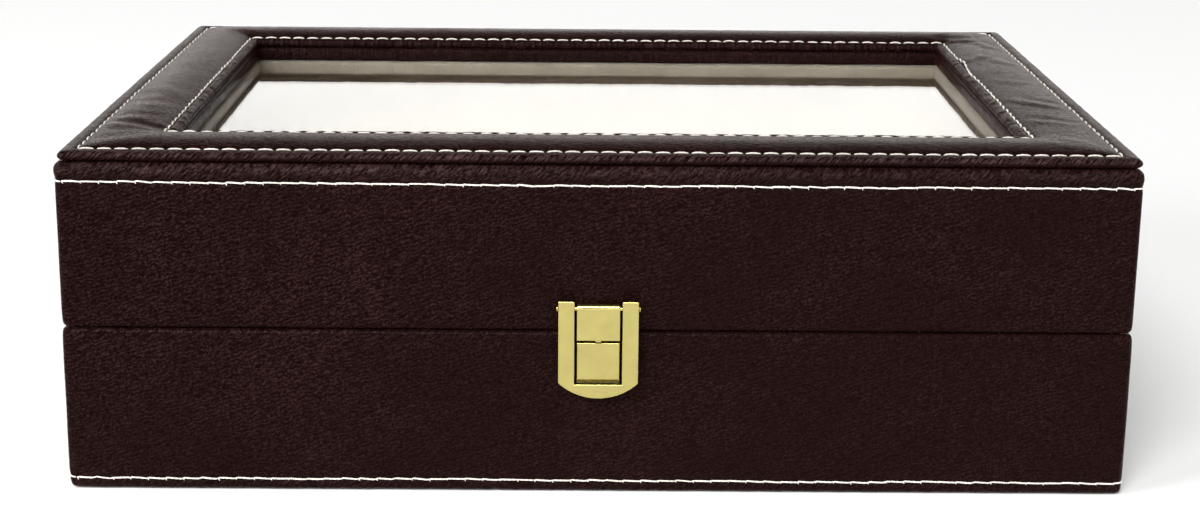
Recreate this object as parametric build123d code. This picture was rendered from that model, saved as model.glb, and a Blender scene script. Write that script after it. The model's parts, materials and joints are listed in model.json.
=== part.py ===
from build123d import *
import os
from math import acos, cos, degrees, radians, sin

os.makedirs("parts", exist_ok=True)

# ---------------------------------------------------------------- driving dimensions (mm)
# The box stands on z = 0. +X runs along its long side, the latch looks towards -Y.
LENGTH = 300.0            # outside length, leather to leather
DEPTH = 200.0             # outside depth, leather to leather
CORNER_R = 2.0            # upright corner of the leather cover
LEATHER = 1.0             # wall cover, glued leatherette
BOARD = 6.0               # wall board
LINING = 1.5              # velvet covered card
FELT = 0.4                # felt under the base
TURN_IN = 0.8             # leather folded under the base and over the rims
RIM_BASE = 48.15          # top of the base rim
RIM_LID = 48.45           # bottom of the lid rim, 0.3 above the base rim
WALL_TOP = 96.15          # top of the lid walls
BOTTOM_BOARD = 4.0
FLOOR_LINING = 1.2

# padded frame round the window
PANEL_BOTTOM = 96.2
PANEL_TOP = 99.2
WINDOW_X = 243.0
WINDOW_Y = 143.0
PANEL_LEATHER = 0.5
PANEL_BOARD = 1.5
FOAM = 0.5
# second frame, glass and its retainer
SUB_TOP = 95.85
GLASS_TOP = 91.1
GLASS_T = 2.0
GLASS_X = 263.0
GLASS_Y = 163.0
RETAINER_BOTTOM = 84.7

# compartments
COLUMNS = 6
DIVIDER = 3.0
DIVIDER_TOP = 40.5
PILLOW_Y = 76.0
PILLOW_SIDE_GAP = 0.43
PILLOW_TOP = 49.5

# stitching
THREAD = 0.7
THREAD_BASE_Z = 3.7
THREAD_LID_Z = 90.6
THREAD_OUTER_MARGIN = 4.9
THREAD_INNER_MARGIN = 25.3

# hinges
HINGE_X = 85.0
HINGE_W = 28.0
AXIS_Y = 102.0
AXIS_Z = 48.3
KNUCKLE_R = 1.7
HINGE_PIN_R = 0.75
LEAF_T = 1.0
LEAF_H = 14.5
LEAF_GAP = 1.8            # leaf edge to hinge axis, beside the other leaf's knuckles
STOP_R = 2.3
STOP_DEG = 101.0          # the stop lugs meet the base leaves here
SCREW_R = 0.8
SCREW_HEAD_R = 1.7
SCREW_LEN = 6.2

# latch
LATCH_FRONT = -104.3      # front face of the flap
PLATE = 0.8               # sheet thickness
FLAP_HALF = 11.25
WIN_HALF = 6.65
FLAP_TOP = 58.3
FLAP_SIDE_END = 34.3      # the straight sides end here
FLAP_BOTTOM = 29.8
WIN_BOTTOM = 34.0
FLANGE_BACK = -101.6
PIN_Y = -102.75
PIN_Z = 55.8
LATCH_PIN_R = 0.60
LATCH_BORE_R = 0.66
SQUARE_HALF = 6.05
SQUARE_BOTTOM = 46.85
CATCH_TOP = 46.0
CATCH_BOTTOM = 35.0
CATCH_FRONT = -103.3

HX, HY = LENGTH / 2, DEPTH / 2
BX, BY = HX - LEATHER, HY - LEATHER              # outside of the boards
IX, IY = BX - BOARD, BY - BOARD                  # inside of the boards
CX, CY = IX - LINING, IY - LINING                # inside of the lining


def block(x0, x1, y0, y1, z0, z1):
    return Pos((x0 + x1) / 2, (y0 + y1) / 2, (z0 + z1) / 2) * Box(x1 - x0, y1 - y0, z1 - z0)


def slab(sx, sy, z0, z1, r=0.0):
    """Centred upright prism, sx by sy, with rounded upright edges."""
    if r > 0:
        return extrude(Pos(0, 0, z0) * RectangleRounded(sx, sy, r), z1 - z0)
    return Pos(0, 0, (z0 + z1) / 2) * Box(sx, sy, z1 - z0)


def cyl_y(x, z, r, y0, y1):
    return Pos(x, (y0 + y1) / 2, z) * Rot(90, 0, 0) * Cylinder(r, y1 - y0)


def cyl_x(y, z, r, x0, x1):
    return Pos((x0 + x1) / 2, y, z) * Rot(0, 90, 0) * Cylinder(r, x1 - x0)


def prism_x(points, x0, x1):
    """Extrude a closed y-z outline along X."""
    face = make_face(Polyline(*[(x0, y, z) for y, z in points], close=True))
    return extrude(face, x1 - x0, dir=(1, 0, 0))


def save(name, *shapes):
    solids = [s for shape in shapes for s in shape.solids()]
    item = solids[0] if len(solids) == 1 else Compound(children=solids)
    item.label = name
    export_step(item, "parts/" + name + ".step")


def edges_at(shape, axis, value, tol=0.02):
    """Edges that lie wholly at one coordinate."""
    out = []
    for e in shape.edges():
        bb = e.bounding_box()
        lo = getattr(bb.min, axis)
        hi = getattr(bb.max, axis)
        if abs(lo - value) < tol and abs(hi - value) < tol:
            out.append(e)
    return out


# ---------------------------------------------------------------- screws and rivets
def screw(x, z):
    """Countersunk screw in the back wall, head flush with the leaf, pointing to -Y."""
    face_y = HY + LEAF_T
    body = cyl_y(x, z, SCREW_R, face_y - SCREW_LEN, face_y - LEAF_T)
    cone = Pos(x, face_y - LEAF_T / 2, z) * Rot(90, 0, 0) * Cone(SCREW_HEAD_R, SCREW_R, LEAF_T)
    return body, cone


def screw_cut(x, z):
    body, cone = screw(x, z)
    return body + cone


def screw_solid(x, z):
    slot = block(x - 1.1, x + 1.1, HY + LEAF_T - 0.45, HY + LEAF_T + 0.1, z - 0.17, z + 0.17)
    cross = block(x - 0.17, x + 0.17, HY + LEAF_T - 0.45, HY + LEAF_T + 0.1, z - 1.1, z + 1.1)
    return screw_cut(x, z) - slot - cross


def rivet(x, z, plate_front):
    """Rivet through the front wall: head outside, clinched end in the board's inner face."""
    head = cyl_y(x, z, 1.5, plate_front - 0.5, plate_front)
    shank = cyl_y(x, z, 0.8, plate_front - 0.01, -IY - 0.5)
    clinch = cyl_y(x, z, 1.4, -IY - 0.5, -IY)
    return head + shank + clinch


SCREW_XS = [s * HINGE_X + d for s in (-1, 1) for d in (-9.5, 0.0, 9.5)]
BASE_SCREW_Z = AXIS_Z - 9.5
LID_SCREW_Z = AXIS_Z + 9.5
base_screw_cut = [screw_cut(x, BASE_SCREW_Z) for x in SCREW_XS]
lid_screw_cut = [screw_cut(x, LID_SCREW_Z) for x in SCREW_XS]
CATCH_PLATE = -HY - 0.6
BRACKET_PLATE = -HY - 0.7
catch_rivets = [rivet(s * 3.2, 40.5, CATCH_PLATE) for s in (-1, 1)]
bracket_rivets = [rivet(s * 3.2, 52.0, BRACKET_PLATE) for s in (-1, 1)]


def minus(shape, cutters):
    for c in cutters:
        shape = shape - c
    return shape


# ---------------------------------------------------------------- base
BASE_BOTTOM = FELT
BOARD_Z0 = FELT + TURN_IN
BOARD_Z1 = RIM_BASE - TURN_IN

felt = block(-HX + 4, HX - 4, -HY + 4, HY - 4, 0, FELT) + block(
    -HX + 12.2, HX - 12.2, -HY + 12.2, HY - 12.2, 0, BOARD_Z0)
save("bottom_felt", felt)

save("base_front_board", minus(block(-BX, BX, -BY, -IY, BOARD_Z0, BOARD_Z1), catch_rivets))
save("base_back_board", minus(block(-BX, BX, IY, BY, BOARD_Z0, BOARD_Z1), base_screw_cut))
save("base_left_board", block(-BX, -IX, -IY, IY, BOARD_Z0, BOARD_Z1))
save("base_right_board", block(IX, BX, -IY, IY, BOARD_Z0, BOARD_Z1))
FLOOR_BOARD_TOP = BOARD_Z0 + BOTTOM_BOARD
save("base_bottom_board", block(-IX, IX, -IY, IY, BOARD_Z0, FLOOR_BOARD_TOP))

cover = slab(LENGTH, DEPTH, BASE_BOTTOM, RIM_BASE, CORNER_R)
cover = fillet(edges_at(cover, "Z", RIM_BASE), 0.6)
cover = fillet(edges_at(cover, "Z", BASE_BOTTOM), 0.6)
cover = cover - block(-BX, BX, -BY, BY, BOARD_Z0, BOARD_Z1)
cover = cover - block(-IX, IX, -IY, IY, BOARD_Z1 - 0.1, RIM_BASE + 1)
cover = cover - block(-HX + 12, HX - 12, -HY + 12, HY - 12, BASE_BOTTOM - 1, BOARD_Z0 + 0.1)
cover = minus(cover, catch_rivets + base_screw_cut)
save("base_leather_cover", cover)

FLOOR_TOP = FLOOR_BOARD_TOP + FLOOR_LINING
LINING_TOP = RIM_BASE - 1.3
save("base_floor_lining", block(-IX, IX, -IY, IY, FLOOR_BOARD_TOP, FLOOR_TOP))
save("base_lining_front", block(-IX, IX, -IY, -CY, FLOOR_TOP, LINING_TOP))
save("base_lining_back", block(-IX, IX, CY, IY, FLOOR_TOP, LINING_TOP))
save("base_lining_left", block(-IX, -CX, -CY, CY, FLOOR_TOP, LINING_TOP))
save("base_lining_right", block(CX, IX, -CY, CY, FLOOR_TOP, LINING_TOP))

# dividers: one long card and five cross cards, half lapped
CELL_X = (2 * CX - (COLUMNS - 1) * DIVIDER) / COLUMNS
CELL_Y = (2 * CY - DIVIDER) / 2
DIV_Z0 = FLOOR_TOP
MID_Z = (DIV_Z0 + DIVIDER_TOP) / 2
cross_x = [-CX + (i + 1) * CELL_X + (i + 0.5) * DIVIDER for i in range(COLUMNS - 1)]
long_card = block(-CX, CX, -DIVIDER / 2, DIVIDER / 2, DIV_Z0, DIVIDER_TOP)
for x in cross_x:
    long_card -= block(x - DIVIDER / 2 - 0.05, x + DIVIDER / 2 + 0.05, -5, 5, MID_Z, DIVIDER_TOP + 1)
save("long_divider", long_card)
cross_cards = []
for x in cross_x:
    card = block(x - DIVIDER / 2, x + DIVIDER / 2, -CY, CY, DIV_Z0, DIVIDER_TOP)
    card -= block(x - 5, x + 5, -DIVIDER / 2 - 0.05, DIVIDER / 2 + 0.05, DIV_Z0 - 1, MID_Z)
    cross_cards.append(card)
save("cross_dividers", *cross_cards)

# pillows: an oval roll lying across each compartment, the strap goes round it
PILLOW_X = CELL_X - 2 * PILLOW_SIDE_GAP
PILLOW_Z0 = FLOOR_TOP + 0.1
PILLOW_H = PILLOW_TOP - PILLOW_Z0
n = 0
for row in (-1, 1):
    for col in range(COLUMNS):
        n += 1
        px = -CX + (col + 0.5) * CELL_X + col * DIVIDER
        py = row * (DIVIDER / 2 + CELL_Y / 2)
        roll = extrude(Plane.YZ * RectangleRounded(PILLOW_Y, PILLOW_H, 17.0), PILLOW_X)
        roll = fillet(edges_at(roll, "X", 0.0) + edges_at(roll, "X", PILLOW_X), 4.0)
        save("watch_pillow_%02d" % n, Pos(px - PILLOW_X / 2, py, PILLOW_Z0 + PILLOW_H / 2) * roll)

# stitching on the lower edge
def wall_thread(z):
    ring = slab(LENGTH + 1.0, DEPTH + 1.0, z - THREAD / 2, z + THREAD / 2, CORNER_R + 0.5)
    return ring - slab(LENGTH + 0.04, DEPTH + 0.04, z - 1, z + 1, CORNER_R + 0.02)


save("base_thread", wall_thread(THREAD_BASE_Z))

# ---------------------------------------------------------------- lid walls
LB0 = RIM_LID + TURN_IN
LB1 = WALL_TOP - 0.6
save("lid_front_board", minus(block(-BX, BX, -BY, -IY, LB0, LB1), bracket_rivets))
save("lid_back_board", minus(block(-BX, BX, IY, BY, LB0, LB1), lid_screw_cut))
save("lid_left_board", block(-BX, -IX, -IY, IY, LB0, LB1))
save("lid_right_board", block(IX, BX, -IY, IY, LB0, LB1))
cover = slab(LENGTH, DEPTH, RIM_LID, WALL_TOP, CORNER_R)
cover = fillet(edges_at(cover, "Z", RIM_LID), 0.6)
cover = fillet(edges_at(cover, "Z", WALL_TOP), 0.5)
cover = cover - block(-BX, BX, -BY, BY, LB0, LB1)
cover = cover - block(-IX, IX, -IY, IY, RIM_LID - 1, WALL_TOP + 1)
cover = minus(cover, bracket_rivets + lid_screw_cut)
save("lid_leather_cover", cover)

LL0, LL1 = RIM_LID + 1.0, RETAINER_BOTTOM - 0.1
save("lid_lining_front", block(-IX, IX, -IY, -CY, LL0, LL1))
save("lid_lining_back", block(-IX, IX, CY, IY, LL0, LL1))
save("lid_lining_left", block(-IX, -CX, -CY, CY, LL0, LL1))
save("lid_lining_right", block(CX, IX, -CY, CY, LL0, LL1))
save("lid_thread", wall_thread(THREAD_LID_Z))

# ---------------------------------------------------------------- window
FRAME_X, FRAME_Y = 2 * IX - 0.2, 2 * IY - 0.2
frame2 = slab(FRAME_X, FRAME_Y, GLASS_TOP, SUB_TOP) - slab(WINDOW_X, WINDOW_Y, GLASS_TOP - 1, SUB_TOP + 1, 1.0)
frame2 = fillet([e for e in edges_at(frame2, "Z", SUB_TOP)
                 if abs(e.center().X) < WINDOW_X / 2 + 1 and abs(e.center().Y) < WINDOW_Y / 2 + 1], 0.8)
save("window_frame", frame2)
save("glass_pane", slab(GLASS_X, GLASS_Y, GLASS_TOP - GLASS_T, GLASS_TOP))
G0 = GLASS_TOP - GLASS_T
retainer = slab(FRAME_X, FRAME_Y, RETAINER_BOTTOM, GLASS_TOP)
retainer -= slab(GLASS_X + 0.6, GLASS_Y + 0.6, G0, GLASS_TOP + 1)
retainer -= slab(WINDOW_X, WINDOW_Y, RETAINER_BOTTOM - 1, G0 + 1, 1.0)
save("glass_retainer", retainer)

# padded frame: board, foam, and the leather that wraps them and turns in underneath
B0, B1 = PANEL_BOTTOM + PANEL_LEATHER, PANEL_BOTTOM + PANEL_LEATHER + PANEL_BOARD
F1 = B1 + FOAM
board = slab(LENGTH - 1, DEPTH - 1, B0, B1, 1.5) - slab(WINDOW_X + 1, WINDOW_Y + 1, B0 - 1, B1 + 1, 1.5)
save("lid_top_board", board)
foam = slab(LENGTH - 6, DEPTH - 6, B1, F1, 2.0) - slab(WINDOW_X + 6, WINDOW_Y + 6, B1 - 1, F1 + 1, 2.0)
save("lid_top_foam", foam)
skin = slab(LENGTH, DEPTH, PANEL_BOTTOM, PANEL_TOP, CORNER_R) - slab(
    WINDOW_X, WINDOW_Y, PANEL_BOTTOM - 1, PANEL_TOP + 1, 1.0)
skin = fillet(edges_at(skin, "Z", PANEL_TOP), 0.9)
skin = fillet(edges_at(skin, "Z", PANEL_BOTTOM), 0.45)
skin = skin - board - foam
skin = skin - (slab(LENGTH - 20, DEPTH - 20, PANEL_BOTTOM - 1, B0 + 0.05)
               - slab(WINDOW_X + 20, WINDOW_Y + 20, PANEL_BOTTOM - 2, B0 + 1) - board)
save("lid_top_leather", skin)


def top_thread(margin, name):
    sx, sy = LENGTH - 2 * margin, DEPTH - 2 * margin
    z0 = PANEL_TOP + 0.02
    ring = slab(sx + THREAD, sy + THREAD, z0, z0 + 0.4)
    save(name, ring - slab(sx - THREAD, sy - THREAD, z0 - 1, z0 + 1))


top_thread(THREAD_OUTER_MARGIN, "top_outer_thread")
top_thread(THREAD_INNER_MARGIN, "top_inner_thread")

# ---------------------------------------------------------------- hinges
# Five knuckles: three on the base leaf, two on the lid leaf, 0.2 apart.
H = HINGE_W / 2
BASE_K = [(-H, -8.6), (-2.7, 2.7), (8.6, H)]
LID_K = [(-8.4, -2.9), (2.9, 8.4)]


def stop_lug(x0, x1):
    """Lug on the lid's knuckle: at the end of the travel it meets the base leaf's upper edge."""
    lead = degrees(acos(-(AXIS_Y - HY - LEAF_T) / STOP_R)) - STOP_DEG
    pts = [(AXIS_Y, AXIS_Z)]
    for a in (-24.0, -12.0, 0.0, lead / 2, lead):
        pts.append((AXIS_Y + STOP_R * cos(radians(a)), AXIS_Z - STOP_R * sin(radians(a))))
    return prism_x(pts, x0, x1)


pins = []
for side, hx in (("left", -HINGE_X), ("right", HINGE_X)):
    low = AXIS_Z - LEAF_GAP - (LEAF_H - LEAF_GAP)
    leaf = block(hx - H, hx + H, HY, HY + LEAF_T, low, AXIS_Z - LEAF_GAP)
    for a, b in BASE_K:
        leaf += block(hx + a, hx + b, HY, HY + 1.3, AXIS_Z - LEAF_GAP - 0.2, AXIS_Z)
        leaf += cyl_x(AXIS_Y, AXIS_Z, KNUCKLE_R, hx + a, hx + b)
    leaf -= cyl_x(AXIS_Y, AXIS_Z, HINGE_PIN_R + 0.03, hx - H - 1, hx + H + 1)
    leaf = minus(leaf, base_screw_cut)
    save("hinge_base_leaf_" + side, leaf)

    high = AXIS_Z + LEAF_H
    leaf = block(hx - H, hx + H, HY, HY + LEAF_T, AXIS_Z + 2.0, high)
    for a, b in LID_K:
        leaf += block(hx + a, hx + b, HY, HY + 1.3, AXIS_Z, AXIS_Z + 2.2)
        leaf += cyl_x(AXIS_Y, AXIS_Z, KNUCKLE_R, hx + a, hx + b)
        leaf += stop_lug(hx + a, hx + b)
    leaf -= cyl_x(AXIS_Y, AXIS_Z, HINGE_PIN_R + 0.05, hx - H - 1, hx + H + 1)
    leaf = minus(leaf, lid_screw_cut)
    save("hinge_lid_leaf_" + side, leaf)
    pins.append(cyl_x(AXIS_Y, AXIS_Z, HINGE_PIN_R, hx - H - 0.3, hx + H + 0.3))
save("hinge_pins", *pins)
save("base_hinge_screws", *[screw_solid(x, BASE_SCREW_Z) for x in SCREW_XS])
save("lid_hinge_screws", *[screw_solid(x, LID_SCREW_Z) for x in SCREW_XS])

# ---------------------------------------------------------------- latch
# Flap: a stamped U with turned-back edges, open at the top ends of its arms.
def flap_face():
    line = Polyline((FLAP_HALF, 0, FLAP_SIDE_END), (FLAP_HALF, 0, FLAP_TOP), (WIN_HALF, 0, FLAP_TOP),
                    (WIN_HALF, 0, WIN_BOTTOM), (-WIN_HALF, 0, WIN_BOTTOM), (-WIN_HALF, 0, FLAP_TOP),
                    (-FLAP_HALF, 0, FLAP_TOP), (-FLAP_HALF, 0, FLAP_SIDE_END))
    arc = ThreePointArc((-FLAP_HALF, 0, FLAP_SIDE_END), (0, 0, FLAP_BOTTOM), (FLAP_HALF, 0, FLAP_SIDE_END))
    return make_face(line + arc)


def pocket_face():
    """What the stamping is hollow over: everything further than one plate from the outline."""
    t = PLATE
    x0, x1 = WIN_HALF + t, FLAP_HALF - t
    z = FLAP_SIDE_END + 0.25
    line = Polyline((x1, 0, z), (x1, 0, FLAP_TOP + 1), (x0, 0, FLAP_TOP + 1), (x0, 0, WIN_BOTTOM - t),
                    (-x0, 0, WIN_BOTTOM - t), (-x0, 0, FLAP_TOP + 1), (-x1, 0, FLAP_TOP + 1), (-x1, 0, z))
    arc = ThreePointArc((-x1, 0, z), (0, 0, FLAP_BOTTOM + t), (x1, 0, z))
    return make_face(line + arc)


def extrude_y(face, y0, y1):
    return extrude(Pos(0, y0, 0) * face, y1 - y0, dir=(0, 1, 0))


flap = extrude_y(flap_face(), LATCH_FRONT, FLANGE_BACK)
upright = [e for e in flap.edges() if e.bounding_box().size.Y > 2.0 and e.center().Z > FLAP_TOP - 0.1]
flap = fillet(upright, 0.4)
flap = fillet(edges_at(flap, "Y", LATCH_FRONT), 0.38)
flap -= extrude_y(pocket_face(), LATCH_FRONT + PLATE, FLANGE_BACK + 1)
# finger relief: the middle of the lower edge is not turned back, and it passes in front of the catch
flap -= block(-WIN_HALF, WIN_HALF, LATCH_FRONT + PLATE, -HY, FLAP_BOTTOM - 1, WIN_BOTTOM + 1)
# the turned-back edges taper towards the free end, and their upper corners are cut off to swing clear
for s in (-1, 1):
    x0, x1 = sorted((s * (WIN_HALF - 0.1), s * (FLAP_HALF + 0.1)))
    flap -= prism_x([(FLANGE_BACK + 0.1, FLAP_TOP + 0.1), (FLANGE_BACK + 0.1, FLAP_TOP - 0.5),
                     (FLANGE_BACK - 0.5, FLAP_TOP + 0.1)], x0, x1)
flap -= cyl_x(PIN_Y, PIN_Z, LATCH_BORE_R, -15, 15)
save("latch_flap", flap)

pin = cyl_x(PIN_Y, PIN_Z, LATCH_PIN_R, -FLAP_HALF - 0.12, FLAP_HALF + 0.12)
for s in (-1, 1):
    a, b = sorted((s * (FLAP_HALF + 0.1), s * (FLAP_HALF + 0.5)))
    head = cyl_x(PIN_Y, PIN_Z, 0.9, a, b)
    head = fillet(edges_at(head, "X", s * (FLAP_HALF + 0.5)), 0.3)
    pin += head
save("latch_pin", pin)

# Bracket on the lid: mounting plate, web, barrel round the pin, and the square front plate.
R_BARREL = PIN_Y - LATCH_FRONT
S = SQUARE_HALF
bracket = block(-S, S, BRACKET_PLATE, -HY, RIM_LID + 0.4, PIN_Z + 1.2)
bracket += block(-S, S, PIN_Y, BRACKET_PLATE + 0.1, PIN_Z + 0.62, PIN_Z + 1.2)
bracket += cyl_x(PIN_Y, PIN_Z, R_BARREL, -S, S)
bracket += block(-S, S, LATCH_FRONT, LATCH_FRONT + PLATE, SQUARE_BOTTOM, PIN_Z)
bracket -= cyl_x(PIN_Y, PIN_Z, LATCH_PIN_R + 0.02, -S - 1, S + 1)
bracket -= block(-S - 1, S + 1, LATCH_FRONT + PLATE, BRACKET_PLATE, RIM_LID - 3, PIN_Z - R_BARREL + 0.05)
front_edges = [e for e in bracket.edges()
               if abs(e.bounding_box().min.Y - LATCH_FRONT) < 0.02 and abs(e.bounding_box().max.Y - LATCH_FRONT) < 0.02
               and (abs(abs(e.center().X) - S) < 0.02 or abs(e.center().Z - SQUARE_BOTTOM) < 0.02)]
bracket = fillet(front_edges, 0.32)
# small locating nib under the front plate
bracket += block(-0.8, 0.8, LATCH_FRONT + 0.15, LATCH_FRONT + PLATE - 0.1, SQUARE_BOTTOM - 0.4, SQUARE_BOTTOM + 0.1)
save("latch_bracket", minus(bracket, bracket_rivets))
save("bracket_rivets", *bracket_rivets)

# Catch on the base: plate with a raised hollow block that shows in the flap's window.
catch = block(-S, S, CATCH_FRONT, CATCH_PLATE, CATCH_BOTTOM, CATCH_TOP)
catch = fillet(edges_at(catch, "Y", CATCH_FRONT), 0.4)
catch -= block(-S + 0.7, S - 0.7, CATCH_FRONT + PLATE, CATCH_PLATE + 1, CATCH_BOTTOM + 0.7, CATCH_TOP - 0.7)
catch += block(-S, S, CATCH_PLATE, -HY, CATCH_BOTTOM - 1.4, CATCH_TOP + 0.8)
catch += block(-S, S, CATCH_PLATE - 1.0, -HY, CATCH_BOTTOM - 1.4, CATCH_BOTTOM - 0.95)
catch = minus(catch, catch_rivets)
save("latch_catch", catch)
save("catch_rivets", *catch_rivets)

print("cell", round(CELL_X, 2), round(CELL_Y, 2), "pillow", round(PILLOW_X, 2), PILLOW_Y, round(PILLOW_H, 2))
print("floor top", FLOOR_TOP, "cross x", [round(x, 2) for x in cross_x])
print("stop lug meets the base leaf at", STOP_DEG, "degrees")
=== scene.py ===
import json
import math

import bpy
import bmesh
import numpy as np
from mathutils import Matrix, Vector


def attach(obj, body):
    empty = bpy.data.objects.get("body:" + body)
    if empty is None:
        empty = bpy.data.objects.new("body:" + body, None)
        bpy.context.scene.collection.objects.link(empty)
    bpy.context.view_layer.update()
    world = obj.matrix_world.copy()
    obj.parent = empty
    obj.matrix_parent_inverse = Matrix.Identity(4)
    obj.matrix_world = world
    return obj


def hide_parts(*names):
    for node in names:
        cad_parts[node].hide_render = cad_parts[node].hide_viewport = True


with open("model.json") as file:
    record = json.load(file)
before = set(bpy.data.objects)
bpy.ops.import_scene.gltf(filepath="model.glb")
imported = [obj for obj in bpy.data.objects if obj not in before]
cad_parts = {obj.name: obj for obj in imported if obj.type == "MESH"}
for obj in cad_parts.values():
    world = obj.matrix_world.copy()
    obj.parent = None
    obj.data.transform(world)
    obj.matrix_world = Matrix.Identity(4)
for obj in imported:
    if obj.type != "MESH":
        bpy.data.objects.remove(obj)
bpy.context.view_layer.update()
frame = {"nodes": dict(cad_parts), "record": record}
nodes = frame["nodes"]
scene = bpy.context.scene
MM = 0.001

# ------------------------------------------------------------------ sizes, in mm
HX, HY = 150.0, 100.0
RIM_BASE, RIM_LID, WALL_TOP = 48.15, 48.45, 96.15
THREAD_BASE_Z, THREAD_LID_Z = 3.7, 90.6
OUTER_ROW, INNER_ROW = 4.9, 25.3          # stitch rows, from the outer edge
WINDOW_X, WINDOW_Y = 121.5, 71.5
BAND = 28.5
CX, CY = 141.5, 91.5
IX, IY = 143.0, 93.0
FLOOR_TOP = 6.4
DIVIDER, DIVIDER_TOP = 3.0, 40.5
PITCH = 5.0

# ------------------------------------------------------------------ camera
cam_data = bpy.data.cameras.new("camera")
cam = bpy.data.objects.new("camera", cam_data)
scene.collection.objects.link(cam)
scene.camera = cam
EL, YAW, ROLL = 0.23092, 0.00746, 0.00937
fwd = Vector((math.sin(YAW) * math.cos(EL), math.cos(YAW) * math.cos(EL), -math.sin(EL)))
right = Vector((math.cos(YAW), -math.sin(YAW), 0.0))
up = right.cross(fwd)
r2 = right * math.cos(ROLL) + up * math.sin(ROLL)
u2 = up * math.cos(ROLL) - right * math.sin(ROLL)
m = Matrix.Identity(4)
for i in range(3):
    m[i][0], m[i][1], m[i][2] = r2[i], u2[i], -fwd[i]
m[0][3], m[1][3], m[2][3] = -0.003976, -0.626769, 0.228113
cam.matrix_world = m
cam_data.sensor_width = 36.0
cam_data.sensor_fit = "HORIZONTAL"
cam_data.lens = 1976.01 / 1200.0 * 36.0
cam_data.shift_x = 0.0
cam_data.shift_y = (136.95 - 261.0) / 1200.0
cam_data.clip_start = 0.01
cam_data.clip_end = 50.0


# ------------------------------------------------------------------ noise and mesh helpers
def _hash(ix, iy, iz, seed):
    h = (ix * 374761393 + iy * 668265263 + iz * 1440662683 + seed * 974634777) & 0xFFFFFFFF
    h = ((h ^ (h >> 13)) * 1274126177) & 0xFFFFFFFF
    h = h ^ (h >> 16)
    return (h & 0xFFFF) / 32767.5 - 1.0


def vnoise(x, y, z=0.0, seed=0):
    """Smooth value noise from -1 to 1 on arrays."""
    x, y, z = np.broadcast_arrays(np.asarray(x, float), np.asarray(y, float), np.asarray(z, float))
    fx, fy, fz = np.floor(x), np.floor(y), np.floor(z)
    ix, iy, iz = fx.astype(np.int64), fy.astype(np.int64), fz.astype(np.int64)
    tx, ty, tz = x - fx, y - fy, z - fz
    tx, ty, tz = [t * t * t * (t * (t * 6 - 15) + 10) for t in (tx, ty, tz)]
    out = 0.0
    for dx in (0, 1):
        for dy in (0, 1):
            for dz in (0, 1):
                w = (tx if dx else 1 - tx) * (ty if dy else 1 - ty) * (tz if dz else 1 - tz)
                out = out + w * _hash(ix + dx, iy + dy, iz + dz, seed)
    return out


def sstep(a, b, x):
    t = np.clip((x - a) / (b - a), 0.0, 1.0)
    return t * t * (3 - 2 * t)


def new_object(name, verts, faces, smooth=True):
    """verts in mm."""
    me = bpy.data.meshes.new(name)
    me.from_pydata((np.asarray(verts, float) * MM).tolist(), [], [tuple(int(i) for i in f) for f in faces])
    me.update()
    if smooth:
        me.polygons.foreach_set("use_smooth", [True] * len(me.polygons))
    me.validate()
    ob = bpy.data.objects.new(name, me)
    scene.collection.objects.link(ob)
    return ob


def grid_faces(rows, cols, wrap_rows, wrap_cols, start=0):
    r = np.arange(rows if wrap_rows else rows - 1)
    c = np.arange(cols if wrap_cols else cols - 1)
    R, C = np.meshgrid(r, c, indexing="ij")
    R2, C2 = (R + 1) % rows, (C + 1) % cols
    return (np.stack([R * cols + C, R * cols + C2, R2 * cols + C2, R2 * cols + C], -1).reshape(-1, 4) + start)


class Ring:
    """Stations round a rounded rectangle, matched from ring to ring."""

    def __init__(self, ex, ey, step, corner=7):
        side, kind, t = [], [], []
        for s in range(4):
            n = int(round(2 * (ex if s % 2 == 0 else ey) / step)) + 1
            u = np.linspace(0, 1, n)
            side += [s] * n
            kind += [0] * n
            t += list(u)
            v = np.linspace(0, 1, corner + 2)[1:-1]
            side += [s] * corner
            kind += [1] * corner
            t += list(v)
        self.side, self.kind, self.t = np.array(side), np.array(kind), np.array(t)
        self.n = len(t)

    def xy(self, ex, ey, rr):
        a, b = ex - rr, ey - rr
        x, y, nx, ny = [np.zeros(self.n) for _ in range(4)]
        for s in range(4):
            st = (self.side == s) & (self.kind == 0)
            t = self.t[st] * 2 - 1
            if s == 0:
                x[st], y[st], ny[st] = a * t, -ey, -1
            elif s == 1:
                x[st], y[st], nx[st] = ex, b * t, 1
            elif s == 2:
                x[st], y[st], ny[st] = -a * t, ey, 1
            else:
                x[st], y[st], nx[st] = -ex, -b * t, -1
            co = (self.side == s) & (self.kind == 1)
            ang = np.radians(-90 + 90 * s + 90 * self.t[co])
            cx = a if s in (0, 1) else -a
            cy = b if s in (1, 2) else -b
            x[co], y[co] = cx + rr * np.cos(ang), cy + rr * np.sin(ang)
            nx[co], ny[co] = np.cos(ang), np.sin(ang)
        return x, y, nx, ny


def catmull(points, step):
    """Smooth open line through (a, b) points, resampled about every step; a point's third number is its own step."""
    steps = [q[2] if len(q) > 2 else step for q in points]
    p = np.array([q[:2] for q in points], float)
    p = np.vstack([2 * p[0] - p[1], p, 2 * p[-1] - p[-2]])
    out = []
    for i in range(1, len(p) - 2):
        p0, p1, p2, p3 = p[i - 1], p[i], p[i + 1], p[i + 2]
        n = max(1, int(math.ceil(np.linalg.norm(p2 - p1) / steps[i - 1])))
        for k in range(n):
            t = k / n
            out.append(0.5 * ((2 * p1) + (-p0 + p2) * t + (2 * p0 - 5 * p1 + 4 * p2 - p3) * t * t
                              + (-p0 + 3 * p1 - 3 * p2 + p3) * t ** 3))
    out.append(p[-2])
    return np.array(out)


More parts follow.
